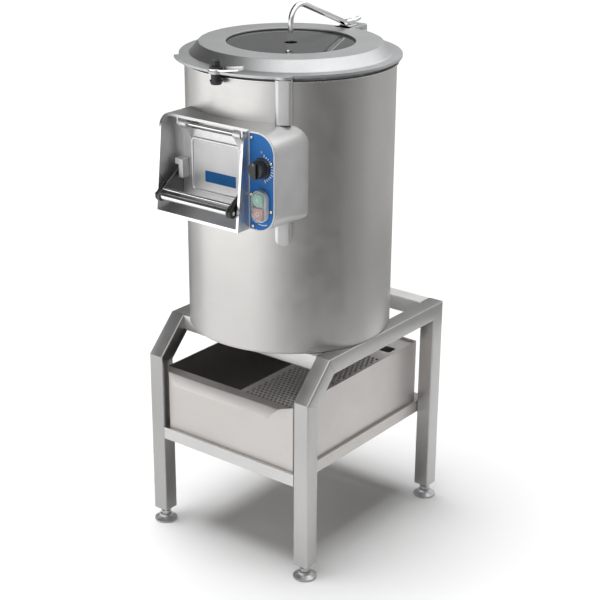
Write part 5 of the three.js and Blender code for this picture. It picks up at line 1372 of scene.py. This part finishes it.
class PEELER_OT_casting(bpy.types.Operator):
    """Build the cast outlet chute with its control box."""

    bl_idname = "peeler.casting"
    bl_label = "Front casting"

    def execute(self, context):
        low, high = CASTING_LOW.z, CASTING_HIGH.z
        piece = self.chute(low, high)
        carve(piece, self.box(0.0, CHUTE_INNER, CONTROL_BOX.front), how="UNION")
        carve(piece, self.box(CONTROL_BOX.wall, CHUTE.half, CONTROL_BOX.front + 0.01))
        carve(piece, self.pocket(low, high))
        self.passage(piece, low, high)
        y, z = ahead(ROD.reach), high - ROD.drop
        carve(
            piece, outlet_tool(), tool(rod, ROD.radius + GAP, (-CHUTE_INNER, y, z), (CHUTE_INNER, y, z)),
            drum_tool(DRUM_RADIUS + GAP, low - 0.02, high + 0.02))
        soften(piece, context.scene.peeler_shape.edge)
        # The chute's front rim takes the pale steel: a painted highlight along its edge.
        piece.data.materials.append(FINISHES["rim"])
        near = ahead(SEAT.front + SEAT.rim)
        for polygon in piece.data.polygons:
            x, y, _ = polygon.center
            if polygon.normal.y < -0.8 and y < near and abs(x) <= CHUTE.half:
                polygon.material_index = 1
        mount(piece, "base", "cast_aluminium", "front_casting")
        return {"FINISHED"}

    @staticmethod
    def chute(low, high):
        """The outer form: the rim leans forward as it goes down and rounds off at the top."""
        rear, rim = ahead(DRUM_RADIUS / 2), ahead(CHUTE.rim_top)
        start, knee, end = (
            Vector(point) for point in ((rim, low + CHUTE.straight), (rim, high), (ahead(CHUTE.lip), high)))
        curve = [
            tuple(start * (1 - t) ** 2 + knee * 2 * t * (1 - t) + end * t ** 2)
            for t in (i / 8 for i in range(9))]
        points = [(rear, low), (ahead(CHUTE.rim_bottom), low), *curve, (rear, high)]
        bm = bmesh.new()
        prism(bm, "X", points, -CHUTE.half, CHUTE.half)
        # The long edges on the left are well rounded.
        ends = [(e, e.verts[0].co, e.verts[1].co) for e in bm.edges]
        long = [e for e, a, b in ends if abs(a.z - b.z) < 1e-6 and abs(a.x - b.x) < 1e-6 and a.x < 0]
        round_off(bm, long, CHUTE.edge, 5, clamp=True)
        return new_object(bm, "front_casting_body", "cast")

    @staticmethod
    def box(inset, left, reach):
        """The control box: it leans in towards the drum and its lower corner gets sharper there."""
        low, high = CASTING_LOW.z + inset, CASTING_HIGH.z - inset
        loops = []
        bm = bmesh.new()
        for i in range(CONTROL_BOX.stations):
            t = i / (CONTROL_BOX.stations - 1)
            forward = reach + (DRUM_RADIUS / 2 - reach) * t
            side = CASTING_HIGH.x - inset - (CONTROL_BOX.front - forward) * CONTROL_BOX.draft
            corner = CONTROL_BOX.corner + (CONTROL_BOX.rear_corner - CONTROL_BOX.corner) * t
            radii = [0, max(corner - inset, 0.0005), CONTROL_BOX.corner - inset, 0]
            outline = rounded(left, side, low, high, radii)
            verts, edges = loop(bm, [(u, ahead(forward), v) for u, v in outline])
            loops.append(edges)
            if t in (0, 1):
                bm.faces.new(verts)
        for near, far in zip(loops, loops[1:]):
            bmesh.ops.bridge_loops(bm, edges=near + far)
        return new_object(bm, "box")

    @staticmethod
    def pocket(low, high):
        """The room in front of the door: its floor slopes down to the rim."""
        past = 0.012
        seat, lip, far = ahead(SEAT.front), ahead(CHUTE.lip + GAP), ahead(CHUTE.rim_bottom + past)
        slope = (SEAT.floor - SEAT.rim_floor) / (CHUTE.rim_bottom - SEAT.front)
        roof = high - CHUTE.wall
        points = [
            (seat, low + SEAT.floor), (seat, roof), (lip, roof), (lip, high + past), (far, high + past),
            (far, low + SEAT.rim_floor - slope * past)]
        return tool(prism, "X", points, -CHUTE_INNER, CHUTE_INNER)

    @staticmethod
    def passage(piece, low, high):
        """The room behind the seat, with the collar of the outlet's passage and the rod's ears."""
        back = ahead(SEAT.front - SEAT.thickness)
        wall, grow = CHUTE.wall, SEAT.collar
        carve(piece, tool(slab, (-CHUTE_INNER, back, low + wall), (CHUTE_INNER, AXIS_Y, high - wall)))
        sill, half = low + OUTLET.sill, OUTLET.half + grow
        points = rounded(-half, half, sill - grow, sill + OUTLET.height + grow, [OUTLET.corner + grow] * 4)
        carve(piece, tool(prism, "Y", points, back - 0.003, ahead(DRUM_RADIUS / 2)), how="UNION")
        top = high - wall / 2
        ear = rounded(
            ahead(ROD_EAR.front), ahead(ROD_EAR.rear), top - ROD_EAR.height, top,
            [ROD_EAR.corner, ROD_EAR.corner, 0, 0])
        for x0, x1 in both_sides(ROD_EAR.inner, ROD_EAR.outer):
            carve(piece, tool(prism, "X", ear, x0, x1), how="UNION")


# Outlet door and handle

class PEELER_OT_door(bpy.types.Operator):
    """Build the outlet door with its bead, rod, seal and bracket."""

    bl_idname = "peeler.door"
    bl_label = "Outlet door"

    def execute(self, context):
        edge = context.scene.peeler_shape.edge * 0.8
        base = CASTING_LOW.z
        face = ahead(DOOR.face)
        pivot = (ahead(ROD.reach), CASTING_HIGH.z - ROD.drop)
        self.plate(base, face, pivot, edge)
        bm = bmesh.new()
        self.band(
            bm, BEAD.half, base + BEAD.low, base + BEAD.high, BEAD.width, BEAD.corner,
            face - BEAD.height, face + 0.001)
        finish(
            bm, "door_raised_bead", "cast", "door", "cast_aluminium", "outlet_door", edge=0.0016, segments=4)
        # A plain coloured band in the middle of the door, with nothing on it.
        outline = rounded(BAND.left, BAND.right, base + BAND.low, base + BAND.high, [BAND.corner] * 4, 3)
        band = shaped("door_colour_band", "label", prism, "Y", outline, face - BAND.proud, face + 0.0002)
        dress(band, "door", "blue_foil", angle=28.0)
        low, high = BOX["door_hinge_rod"]
        bar = shaped(
            "door_hinge_bar", "polished", rod, ROD.radius, (low.x, *pivot), (high.x, *pivot), ROUND_STEPS)
        dress(bar, "base", "bright_steel", "door_hinge_rod", edge=0.0006, segments=2)
        low, high = BOX["door_seal"]
        bm = bmesh.new()
        self.band(bm, high.x, low.z, high.z, DOOR_SEAL_WIDTH, OUTLET.corner, low.y, high.y)
        finish(bm, "door_seal_strip", "rubber", "door", "black_rubber", "door_seal", edge=0.0006)
        self.bracket(base, face, edge)
        return {"FINISHED"}

    @staticmethod
    def plate(base, face, pivot, edge):
        """The door's plate with the two arms that hold it to the rod."""
        half = BOX["outlet_door"][1].x
        top = base + DOOR.high
        outline = rounded(-half, half, base + DOOR.low, top, [DOOR.corner] * 4)
        door = shaped("outlet_door_casting", "cast", prism, "Y", outline, face, face + DOOR.thickness)
        root = face + DOOR.thickness / 2
        arm = arc(pivot, DOOR_ARM.knuckle, math.radians(20), math.radians(245), 18)
        arm += [(root, top - DOOR_ARM.foot), (root, top - DOOR.corner)]
        for x0, x1 in both_sides(DOOR_ARM.inner, DOOR_ARM.outer):
            carve(door, tool(prism, "X", arm, x0, x1), how="UNION")
        carve(door, tool(rod, ROD.radius + GAP, (-half, *pivot), (half, *pivot)))
        dress(door, "door", "cast_aluminium", "outlet_door", edge=edge)

    @staticmethod
    def band(bm, half, low, high, width, corner, y0, y1):
        """A frame of constant width, as two rounded loops bridged and extruded."""
        rings = []
        for inset in (0.0, width):
            points = rounded(
                -half + inset, half - inset, low + inset, high - inset, [max(corner - inset, 0.001)] * 4)
            rings += loop(bm, [(u, y1, v) for u, v in points])[1]
        raise_faces(bm, bmesh.ops.bridge_loops(bm, edges=rings)["faces"], (0, y0 - y1, 0))

    @staticmethod
    def bracket(base, face, edge):
        """A stepped keeper on the door's left edge."""
        bottom, top = base + BRACKET.bottom, base + BRACKET.top
        step = top - BRACKET.arm_height
        outline = [
            (-BRACKET.right, bottom), (-BRACKET.right, top), (-BRACKET.arm, top), (-BRACKET.arm, step),
            (-BRACKET.left, step), (-BRACKET.left, bottom)]
        block = shaped(
            "door_bracket_block", "cast", prism, "Y", outline, BOX["door_bracket"][0].y, face - GAP)
        dress(block, "door", "cast_aluminium", "door_bracket", edge=edge)


def tear(centre, radius, others):
    """A side outline round a circle and some other corners, as their convex hull in the YZ plane."""
    points = sorted(set(arc(centre, radius, 0, 2 * math.pi, 40)[:-1] + others))

    def half(order):
        chain = []
        for p in order:
            while len(chain) > 1:
                (ax, ay), (bx, by) = chain[-2:]
                if (bx - ax) * (p[1] - ay) - (by - ay) * (p[0] - ax) > 1e-12:
                    break
                chain.pop()
            chain.append(p)
        return chain[:-1]

    return half(points) + half(points[::-1])


class PEELER_OT_handle(bpy.types.Operator):
    """Build the handle: cheeks, tie rod, grip bar and its two arms."""

    bl_idname = "peeler.handle"
    bl_label = "Door handle"

    def execute(self, context):
        base = CASTING_LOW.z
        grip = (ahead(GRIP.reach), base + GRIP.lift)
        self.frame(base, grip)
        low, high = BOX["grip_bar"]
        bar = shaped(
            "grip_bar_tube", "polished", rod, GRIP.radius, (low.x, *grip), (high.x, *grip), ROUND_STEPS)
        dress(bar, "grip", "bright_steel", "grip_bar", edge=0.0008)
        for side in ("left", "right"):
            self.arm(side, grip, high.x)
        return {"FINISHED"}

    @staticmethod
    def frame(base, grip):
        """Two cheeks of sheet, and the thin rod that ties them."""
        low, high = BOX["handle_frame"]
        tie = (ahead(TIE.reach), base + TIE.lift)
        outline = tear(grip, CHEEK.nose, [
            (tie[0], tie[1] + TIE.radius), (ahead(CHEEK.top_reach), base + CHEEK.top),
            (ahead(CHEEK.foot_reach), base + CHEEK.top), (ahead(CHEEK.foot_reach), base + CHEEK.foot)])
        bm = bmesh.new()
        for x0, x1 in both_sides(high.x - CHEEK.sheet, high.x):
            prism(bm, "X", outline, x0, x1)
        # The cheeks take the dark steel: painted shade.
        cheeks = new_object(bm, "handle_cheeks", "cheek")
        carve(cheeks, tool(rod, GRIP.radius + GAP, (-0.12, *grip), (0.12, *grip), ROUND_STEPS))
        ends = ((low.x, *tie), (high.x, *tie))
        for piece in (cheeks, shaped("handle_tie_rod", "polished", rod, TIE.radius, *ends, SCREW_STEPS)):
            dress(piece, "door", "sheet_steel", "handle_frame", edge=0.0004, segments=2)

    @staticmethod
    def arm(side, grip, bar_end):
        """A black arm clamped on the grip bar, with its screws; the right one covers the bar's end."""
        node = f"{side}_grip_arm"
        low, high = BOX[node]
        spot = (grip[0] + ARM.back, grip[1] + ARM.up)
        outline = tear(grip, ARM.hub, arc(spot, ARM.tip, 0, 2 * math.pi, 24)[:-1])
        piece = shaped(f"{node}_moulding", "black", prism, "X", outline, low.x, high.x)
        inner, outer, way = (bar_end + GAP, high.x, 1) if side == "right" else (high.x + 0.01, low.x, -1)
        carve(piece, tool(rod, GRIP.radius + GAP, (low.x - 0.01, *grip), (inner, *grip), ROUND_STEPS))
        dress(piece, "grip", "black_plastic", node, edge=0.0009)
        bm = bmesh.new()
        sunk, proud = outer - way * ARM.sunk, outer + way * ARM.proud
        rod(bm, ARM.screw, (sunk, *spot), (proud, *spot), 20)
        if side == "right":
            rod(bm, ARM.end_screw, (sunk, *grip), (proud, *grip), 20)
        finish(bm, f"{side}_arm_screws", "polished", "grip", "bright_steel", edge=0.0002)


# Control panel

class PEELER_OT_panel(bpy.types.Operator):
    """Build the blue panel with its screws, dial marks, timer knob and twin button."""

    bl_idname = "peeler.panel"
    bl_label = "Control panel"

    def execute(self, context):
        shape = context.scene.peeler_shape
        face = PANEL_LOW.y
        middle = MIDDLE["timer_knob"]
        self.plate(face, middle)
        self.screws(shape.bolt_size / 2, face)
        self.dial(shape.tick_count, face, middle)
        self.knob(middle)
        self.surround()
        for body, slot in (("start", "green_plastic"), ("stop", "red_plastic")):
            self.button(body, slot)
        return {"FINISHED"}

    @staticmethod
    def plate(face, middle):
        """The blue foil on its plate, with a white line round it and holes for the knob and buttons."""
        small, corner = PANEL.small_corner, PANEL.corner
        outline = rounded(
            PANEL_LOW.x, PANEL_HIGH.x, PANEL_LOW.z, PANEL_HIGH.z, [small, corner, corner, small], 12)
        bm = bmesh.new()
        prism(bm, "Y", outline, face, PANEL_HIGH.y)
        front = [f for f in bm.faces if abs(f.calc_center_median().y - face) < 1e-5]
        bmesh.ops.inset_region(bm, faces=front, thickness=PANEL.rim, depth=0.0)
        for item in bm.faces:
            item.material_index = 0 if item in front else 1
        piece = new_object(bm, "control_panel_foil", "panel", "white")
        x, z, half = middle.x, middle.z, PANEL.button_hole
        near, far = face - 0.01, face + 0.01
        holes = [tool(rod, PANEL.knob_hole, (x, near, z), (x, far, z))]
        for node in ("start_button", "stop_button"):
            z = MIDDLE[node].z
            holes.append(tool(slab, (x - half, near, z - half), (x + half, far, z + half)))
        carve(piece, *holes)
        dress(piece, "base", "blue_foil", "control_panel")

    @staticmethod
    def screws(radius, face):
        """Five cross-head screws round the panel's edge, each on a washer."""
        left, right = PANEL_LOW.x, PANEL_HIGH.x
        low, high = PANEL_LOW.z, PANEL_HIGH.z
        places = (
            (left + 0.0055, high - 0.0085), (right - 0.0065, high - 0.047),
            (left + 0.0045, BEZEL_HIGH.z - 0.012), (right - 0.0065, low + 0.038),
            (left + 0.008, low + 0.0065))
        shares = ((0, 0), (1.0, 0), (1.0, 0.0005), (0.85, 0.0013), (0.5, 0.0019), (0, 0.0021))
        head = [(share * radius, reach) for share, reach in shares]
        washer = [
            (radius - 0.0002, 0), (radius * 1.35, 0), (radius * 1.3, 0.0005), (radius - 0.0002, 0.0006)]
        for number, (x, z) in enumerate(places, 1):
            place = (x, face, z)
            # The heads take the pale rim steel: their own bright steel with a painted glint.
            piece = shaped(f"panel_screw_{number}", "rim", revolve_ahead, head, place)
            turn = Matrix.Translation(place) @ Matrix.Rotation(0.5 + number, 4, "Y")
            slots = []
            for long, wide in ((0.6, 0.14), (0.14, 0.6)):
                long, wide = radius * long, radius * wide
                slots.append(tool(slab, (-long, -0.003, -wide), (long, -0.0009, wide)))
                slots[-1].data.transform(turn)
            carve(piece, *slots)
            dress(piece, "base", "bright_steel", angle=35.0)
            ring = shaped(f"panel_washer_{number}", "rubber", revolve_ahead, washer, place, closed=True)
            dress(ring, "base", "black_rubber", angle=35.0)

    @staticmethod
    def dial(ticks, face, middle):
        """White marks round the knob, longer at every fourth, and a small ring at the off place."""
        bm = bmesh.new()
        for i in range(ticks):
            angle = math.radians(DIAL.start + DIAL.sweep * i / (ticks - 1))
            end = DIAL.radius + (DIAL.short if i % DIAL.every else DIAL.long)
            made = slab(bm, (-DIAL.half, face - DIAL.proud, DIAL.radius), (DIAL.half, face + SINK, end))
            turn_and_move(bm, made, angle, "Y", (middle.x, 0, middle.z))
        x = middle.x - DIAL.aside
        place = (x, face + SINK, middle.z + DIAL.off)
        revolve_ahead(bm, sleeve(0.0011, 0.0017, 0, DIAL.proud), place, closed=True)
        # A short curved rule under the buttons.
        height = PANEL_LOW.z + RULE.lift + RULE.radius
        outline = arc((x, height), RULE.radius, RULE.start, RULE.end, 10)
        outline += arc((x, height + 0.0004), RULE.inner, RULE.end, RULE.start, 10)
        prism(bm, "Y", outline, face - 0.00015, face + SINK)
        finish(bm, "dial_marks", "white", "base", "blue_foil")

    @staticmethod
    def knob(middle):
        """A skirted knob with a fluted body and a raised finger grip with a white line."""
        low, high = BOX["timer_knob"]
        x, z = middle.x, middle.z
        back = PANEL_LOW.y - 0.0006
        bm = bmesh.new()
        revolve_ahead(bm, [
            (0, 0), (KNOB.skirt - 0.0005, 0), (KNOB.skirt, 0.0006), (KNOB.skirt - 0.0012, 0.0034),
            (KNOB.body, 0.0040), (0, 0.0041),
        ], (x, back, z), 96)
        body = lobed((x, z), KNOB.body - 0.0003, KNOB.flute, KNOB.flutes, 8)
        prism(bm, "Y", body, back - KNOB.height, back - 0.002)
        grip = rounded(x - KNOB.grip, x + KNOB.grip, z - KNOB.reach, z + KNOB.reach, [0.004] * 4, 6)
        prism(bm, "Y", grip, low.y, back - KNOB.height + 0.0005)
        rod(bm, 0.003, (x, back - 0.004, z), (x, high.y, z))
        finish(
            bm, "timer_knob_moulding", "black", "timer", "black_plastic", "timer_knob",
            edge=0.0006, angle=35.0)
        top = z + KNOB.reach - 0.001
        line = shaped(
            "timer_pointer_line", "white", slab, (x - 0.0005, low.y - SINK, top - 0.004),
            (x + 0.0005, low.y + 0.0006, top))
        dress(line, "timer", "black_plastic")

    @staticmethod
    def room(node, inset, corner, steps=CORNER_STEPS):
        """The outline of a solid seen from the front, smaller all round by an inset."""
        low, high = BOX[node]
        return rounded(low.x + inset, high.x - inset, low.z + inset, high.z - inset, [corner] * 4, steps)

    def surround(self):
        """The frame round the two buttons, and the soft clear cover that stands proud of it."""
        near, far = BEZEL_LOW.y, BEZEL_HIGH.y
        outline = self.room("button_bezel", 0.0, BUTTON.surround, 12)
        bezel = shaped("button_surround", "pale", prism, "Y", outline, near, far)
        carve(bezel, *[
            tool(prism, "Y", self.room(node, -BUTTON.gap, BUTTON.corner), near - 0.01, far + 0.01)
            for node in ("start_button", "stop_button")])
        dress(bezel, "base", "pale_plastic", "button_bezel", edge=0.0012)
        outline = self.room("button_bezel", BOOT.rim, BOOT.corner, 12)
        boot = shaped("button_clear_cover", "boot", prism, "Y", outline, near - BOOT.proud, near - SINK)
        hollow = self.room("button_bezel", BOOT.rim + BOOT.skin, BOOT.inner_corner, 12)
        carve(boot, tool(prism, "Y", hollow, near - BOOT.proud + BOOT.skin, near + 0.01))
        dress(boot, "base", "pale_plastic", edge=0.0010, angle=40.0)

    def button(self, body, slot):
        """A cap on its stem, with a bar for start or a ring for stop."""
        node = f"{body}_button"
        low, high = BOX[node]
        x, z = MIDDLE["button_bezel"].x, MIDDLE[node].z
        bm = bmesh.new()
        prism(bm, "Y", self.room(node, 0.0, BUTTON.corner), low.y, low.y + BUTTON.cap)
        stem = BUTTON.stem
        slab(bm, (x - stem, low.y + 0.004, z - stem), (x + stem, high.y, z + stem))
        finish(bm, f"{node}_cap", body, body, slot, node, edge=0.0013)
        bm = bmesh.new()
        if body == "start":
            half, long = BUTTON.mark_half, BUTTON.mark
            slab(bm, (x - half, low.y - SINK, z - long), (x + half, low.y + 0.0005, z + long))
        else:
            revolve_ahead(bm, sleeve(0.0027, 0.0038, 0, 0.0006), (x, low.y + 0.0005, z), 40, closed=True)
        finish(bm, f"{node}_mark", "white", body, slot)


# Studio

class PEELER_OT_studio(bpy.types.Operator):
    """Set up the camera, the pale floor and the soft lights."""

    bl_idname = "peeler.studio"
    bl_label = "Studio"

    def execute(self, context):
        scene, levels = context.scene, context.scene.peeler_studio
        self.camera(scene)
        self.floor()
        self.world(scene, levels.ambient)
        self.lamp("top_light", "SUN", levels.top, TOP_LAMP.place, TOP_LAMP.way, angle=TOP_LAMP.spread)
        aim = Vector(KEY_LAMP.aim) - Vector(KEY_LAMP.place)
        self.lamp("key_light", "AREA", levels.key, KEY_LAMP.place, aim, size=KEY_LAMP.size)
        self.screens()
        scene.view_settings.view_transform = "Standard"
        return {"FINISHED"}

    @staticmethod
    def camera(scene):
        yaw, pitch, roll = (math.radians(turn) for turn in CAMERA.turns)
        way = Vector((-math.sin(yaw) * math.cos(pitch), math.cos(yaw) * math.cos(pitch), -math.sin(pitch)))
        level = Vector((math.cos(yaw), math.sin(yaw), 0.0))
        upright = level.cross(way)
        right = level * math.cos(roll) + upright * math.sin(roll)
        up = upright * math.cos(roll) - level * math.sin(roll)
        data = bpy.data.cameras.new("camera")
        data.lens = CAMERA.lens
        data.sensor_width = CAMERA.sensor
        data.clip_end = 100.0
        camera = bpy.data.objects.new("camera", data)
        axes = Matrix((right, up, -way)).transposed().to_4x4()
        camera.matrix_world = Matrix.Translation(CAMERA.place) @ axes
        scene.collection.objects.link(camera)
        scene.camera = camera

    @staticmethod
    def stage(bm, name, material):
        """Something of the studio, from a bmesh."""
        mesh = to_mesh(bm, name)
        mesh.materials.append(material)
        made = bpy.data.objects.new(name, mesh)
        bpy.context.scene.collection.objects.link(made)
        return made

    def floor(self):
        """A white floor that glows just enough to reach white where no shadow falls."""
        bm = bmesh.new()
        bmesh.ops.create_grid(bm, x_segments=1, y_segments=1, size=FLOOR.half)
        nodes = Nodes("white_floor", FLOOR.colour, 0.9, Specular_IOR_Level=0.0)
        tree = nodes.tree
        level = nodes.add("ShaderNodeMath", {0: seen_rays(tree), 1: FLOOR.glow}, operation="MULTIPLY")
        glow = nodes.add("ShaderNodeEmission", {"Strength": level.outputs[0]})
        total = nodes.add(
            "ShaderNodeAddShader", {0: nodes.shader.outputs["BSDF"], 1: glow.outputs["Emission"]})
        tree.links.new(total.outputs["Shader"], tree.nodes["Material Output"].inputs["Surface"])
        self.stage(bm, "floor", nodes.material)

    @staticmethod
    def world(scene, ambient):
        """White to the eye and in reflections, and a faint light from all round."""
        world = bpy.data.worlds.new("studio")
        scene.world = world
        world.use_nodes = True
        tree = world.node_tree
        soft = tree.nodes["Background"]
        soft.inputs["Color"].default_value = WHITE
        soft.inputs["Strength"].default_value = ambient
        white = add_node(tree, "ShaderNodeBackground", {"Color": WHITE, "Strength": 1.0})
        mix = add_node(tree, "ShaderNodeMixShader", {
            "Fac": seen_rays(tree), 1: soft.outputs["Background"], 2: white.outputs["Background"]})
        tree.links.new(mix.outputs["Shader"], tree.nodes["World Output"].inputs["Surface"])

    @staticmethod
    def lamp(name, kind, energy, place, way, **settings):
        """A soft light that no reflection shows."""
        data = bpy.data.lights.new(name, kind)
        data.energy = energy
        for key, value in settings.items():
            setattr(data, key, value)
        lamp = bpy.data.objects.new(name, data)
        lamp.location = place
        lamp.rotation_euler = Vector(way).to_track_quat("-Z", "Y").to_euler()
        lamp.visible_glossy = False
        bpy.context.scene.collection.objects.link(lamp)

    def screen(self, name, profile, start, end, level):
        """A card that only reflections see: a profile of (radius, height) swept round the machine."""
        facing = math.atan2(-2.036, 1.604) + math.radians(start)
        bm = bmesh.new()
        verts = [bm.verts.new((radius, 0.0, height)) for radius, height in profile]
        edges = [bm.edges.new(pair) for pair in zip(verts, verts[1:])]
        bmesh.ops.rotate(bm, verts=verts, cent=(0, 0, 0), matrix=Matrix.Rotation(facing, 3, "Z"))
        bmesh.ops.spin(
            bm, geom=verts + edges, cent=(0, 0, 0), axis=(0, 0, 1), angle=math.radians(end - start),
            steps=12, use_merge=False)
        material = bpy.data.materials.new(name)
        material.use_nodes = True
        tree = material.node_tree
        tree.nodes.remove(tree.nodes["Principled BSDF"])
        glow = add_node(tree, "ShaderNodeEmission", {"Strength": level})
        tree.links.new(glow.outputs["Emission"], tree.nodes["Material Output"].inputs["Surface"])
        card = self.stage(bm, name, material)
        card.visible_camera = card.visible_diffuse = False
        card.visible_transmission = card.visible_shadow = False

    def screens(self):
        """Low cards for what the drum reflects, and high ones for the lid and the sloping tubes."""
        # Each wall's start and end, in degrees from the camera, and its brightness.
        walls = (
            (-180, -135, 0.30), (-135, -108, 0.75), (-108, -30, 1.65), (-30, -14, 1.15), (-14, 2, 0.60),
            (2, 14, 0.30), (14, 58, 0.20), (58, 82, 0.40), (82, 150, 0.60), (150, 180, 0.35))
        for number, (start, end, level) in enumerate(walls, 1):
            top = WALL.high if start > 0 or end < -130 else WALL.low
            foot, knee, head = ((WALL.radius, height) for height in (0.0, WALL.knee, top))
            self.screen(f"low_wall_{number}", [foot, knee], start, end, level * WALL.low_level)
            self.screen(f"wall_{number}", [knee, head], start, end, level)

        def dome(radius, low, high):
            return arc((0.0, 0.9), radius, math.radians(low), math.radians(high), 8)

        self.screen("side_card", [(0.56, 0.0), (0.56, 0.28)], 84, 140, 1.0)
        self.screen("dark_flag", dome(1.9, 4, 75), -165, -62, 0.08)
        self.screen("bright_panel", dome(2.1, 22, 85), -35, 145, 1.9)
        self.screen("rear_flag", [(1.06, 0.62), (1.06, 0.98)], 150, 215, 0.40)


OPERATORS = (
    PEELER_OT_stand, PEELER_OT_tray, PEELER_OT_drum, PEELER_OT_chamber, PEELER_OT_lid, PEELER_OT_spout,
    PEELER_OT_latch, PEELER_OT_duct, PEELER_OT_casting, PEELER_OT_door, PEELER_OT_handle,
    PEELER_OT_panel, PEELER_OT_studio,
)


class PEELER_PT_panel(bpy.types.Panel):
    """Lists the builders and their settings in the sidebar."""

    bl_label = "Potato peeler"
    bl_idname = "PEELER_PT_panel"
    bl_space_type = "VIEW_3D"
    bl_region_type = "UI"
    bl_category = "Peeler"

    def draw(self, context):
        for group, kind in GROUPS:
            box = self.layout.box()
            for name in kind.__annotations__:
                box.prop(getattr(context.scene, group), name)
        for operator in OPERATORS:
            self.layout.operator(operator.bl_idname)


GROUPS = (
    ("peeler_shape", PeelerShape), ("peeler_finish", PeelerFinish), ("peeler_studio", PeelerStudio))


def register():
    for name, group in GROUPS:
        bpy.utils.register_class(group)
        setattr(bpy.types.Scene, name, PointerProperty(type=group))
    for cls in (*OPERATORS, PEELER_PT_panel):
        bpy.utils.register_class(cls)


def unregister():
    for cls in reversed((*OPERATORS, PEELER_PT_panel)):
        bpy.utils.unregister_class(cls)
    for name, group in reversed(GROUPS):
        delattr(bpy.types.Scene, name)
        bpy.utils.unregister_class(group)


def main():
    register()
    make_finishes()
    for operator in OPERATORS:
        kind, name = operator.bl_idname.split(".")
        getattr(getattr(bpy.ops, kind), name)()


if __name__ == "__main__":
    main()
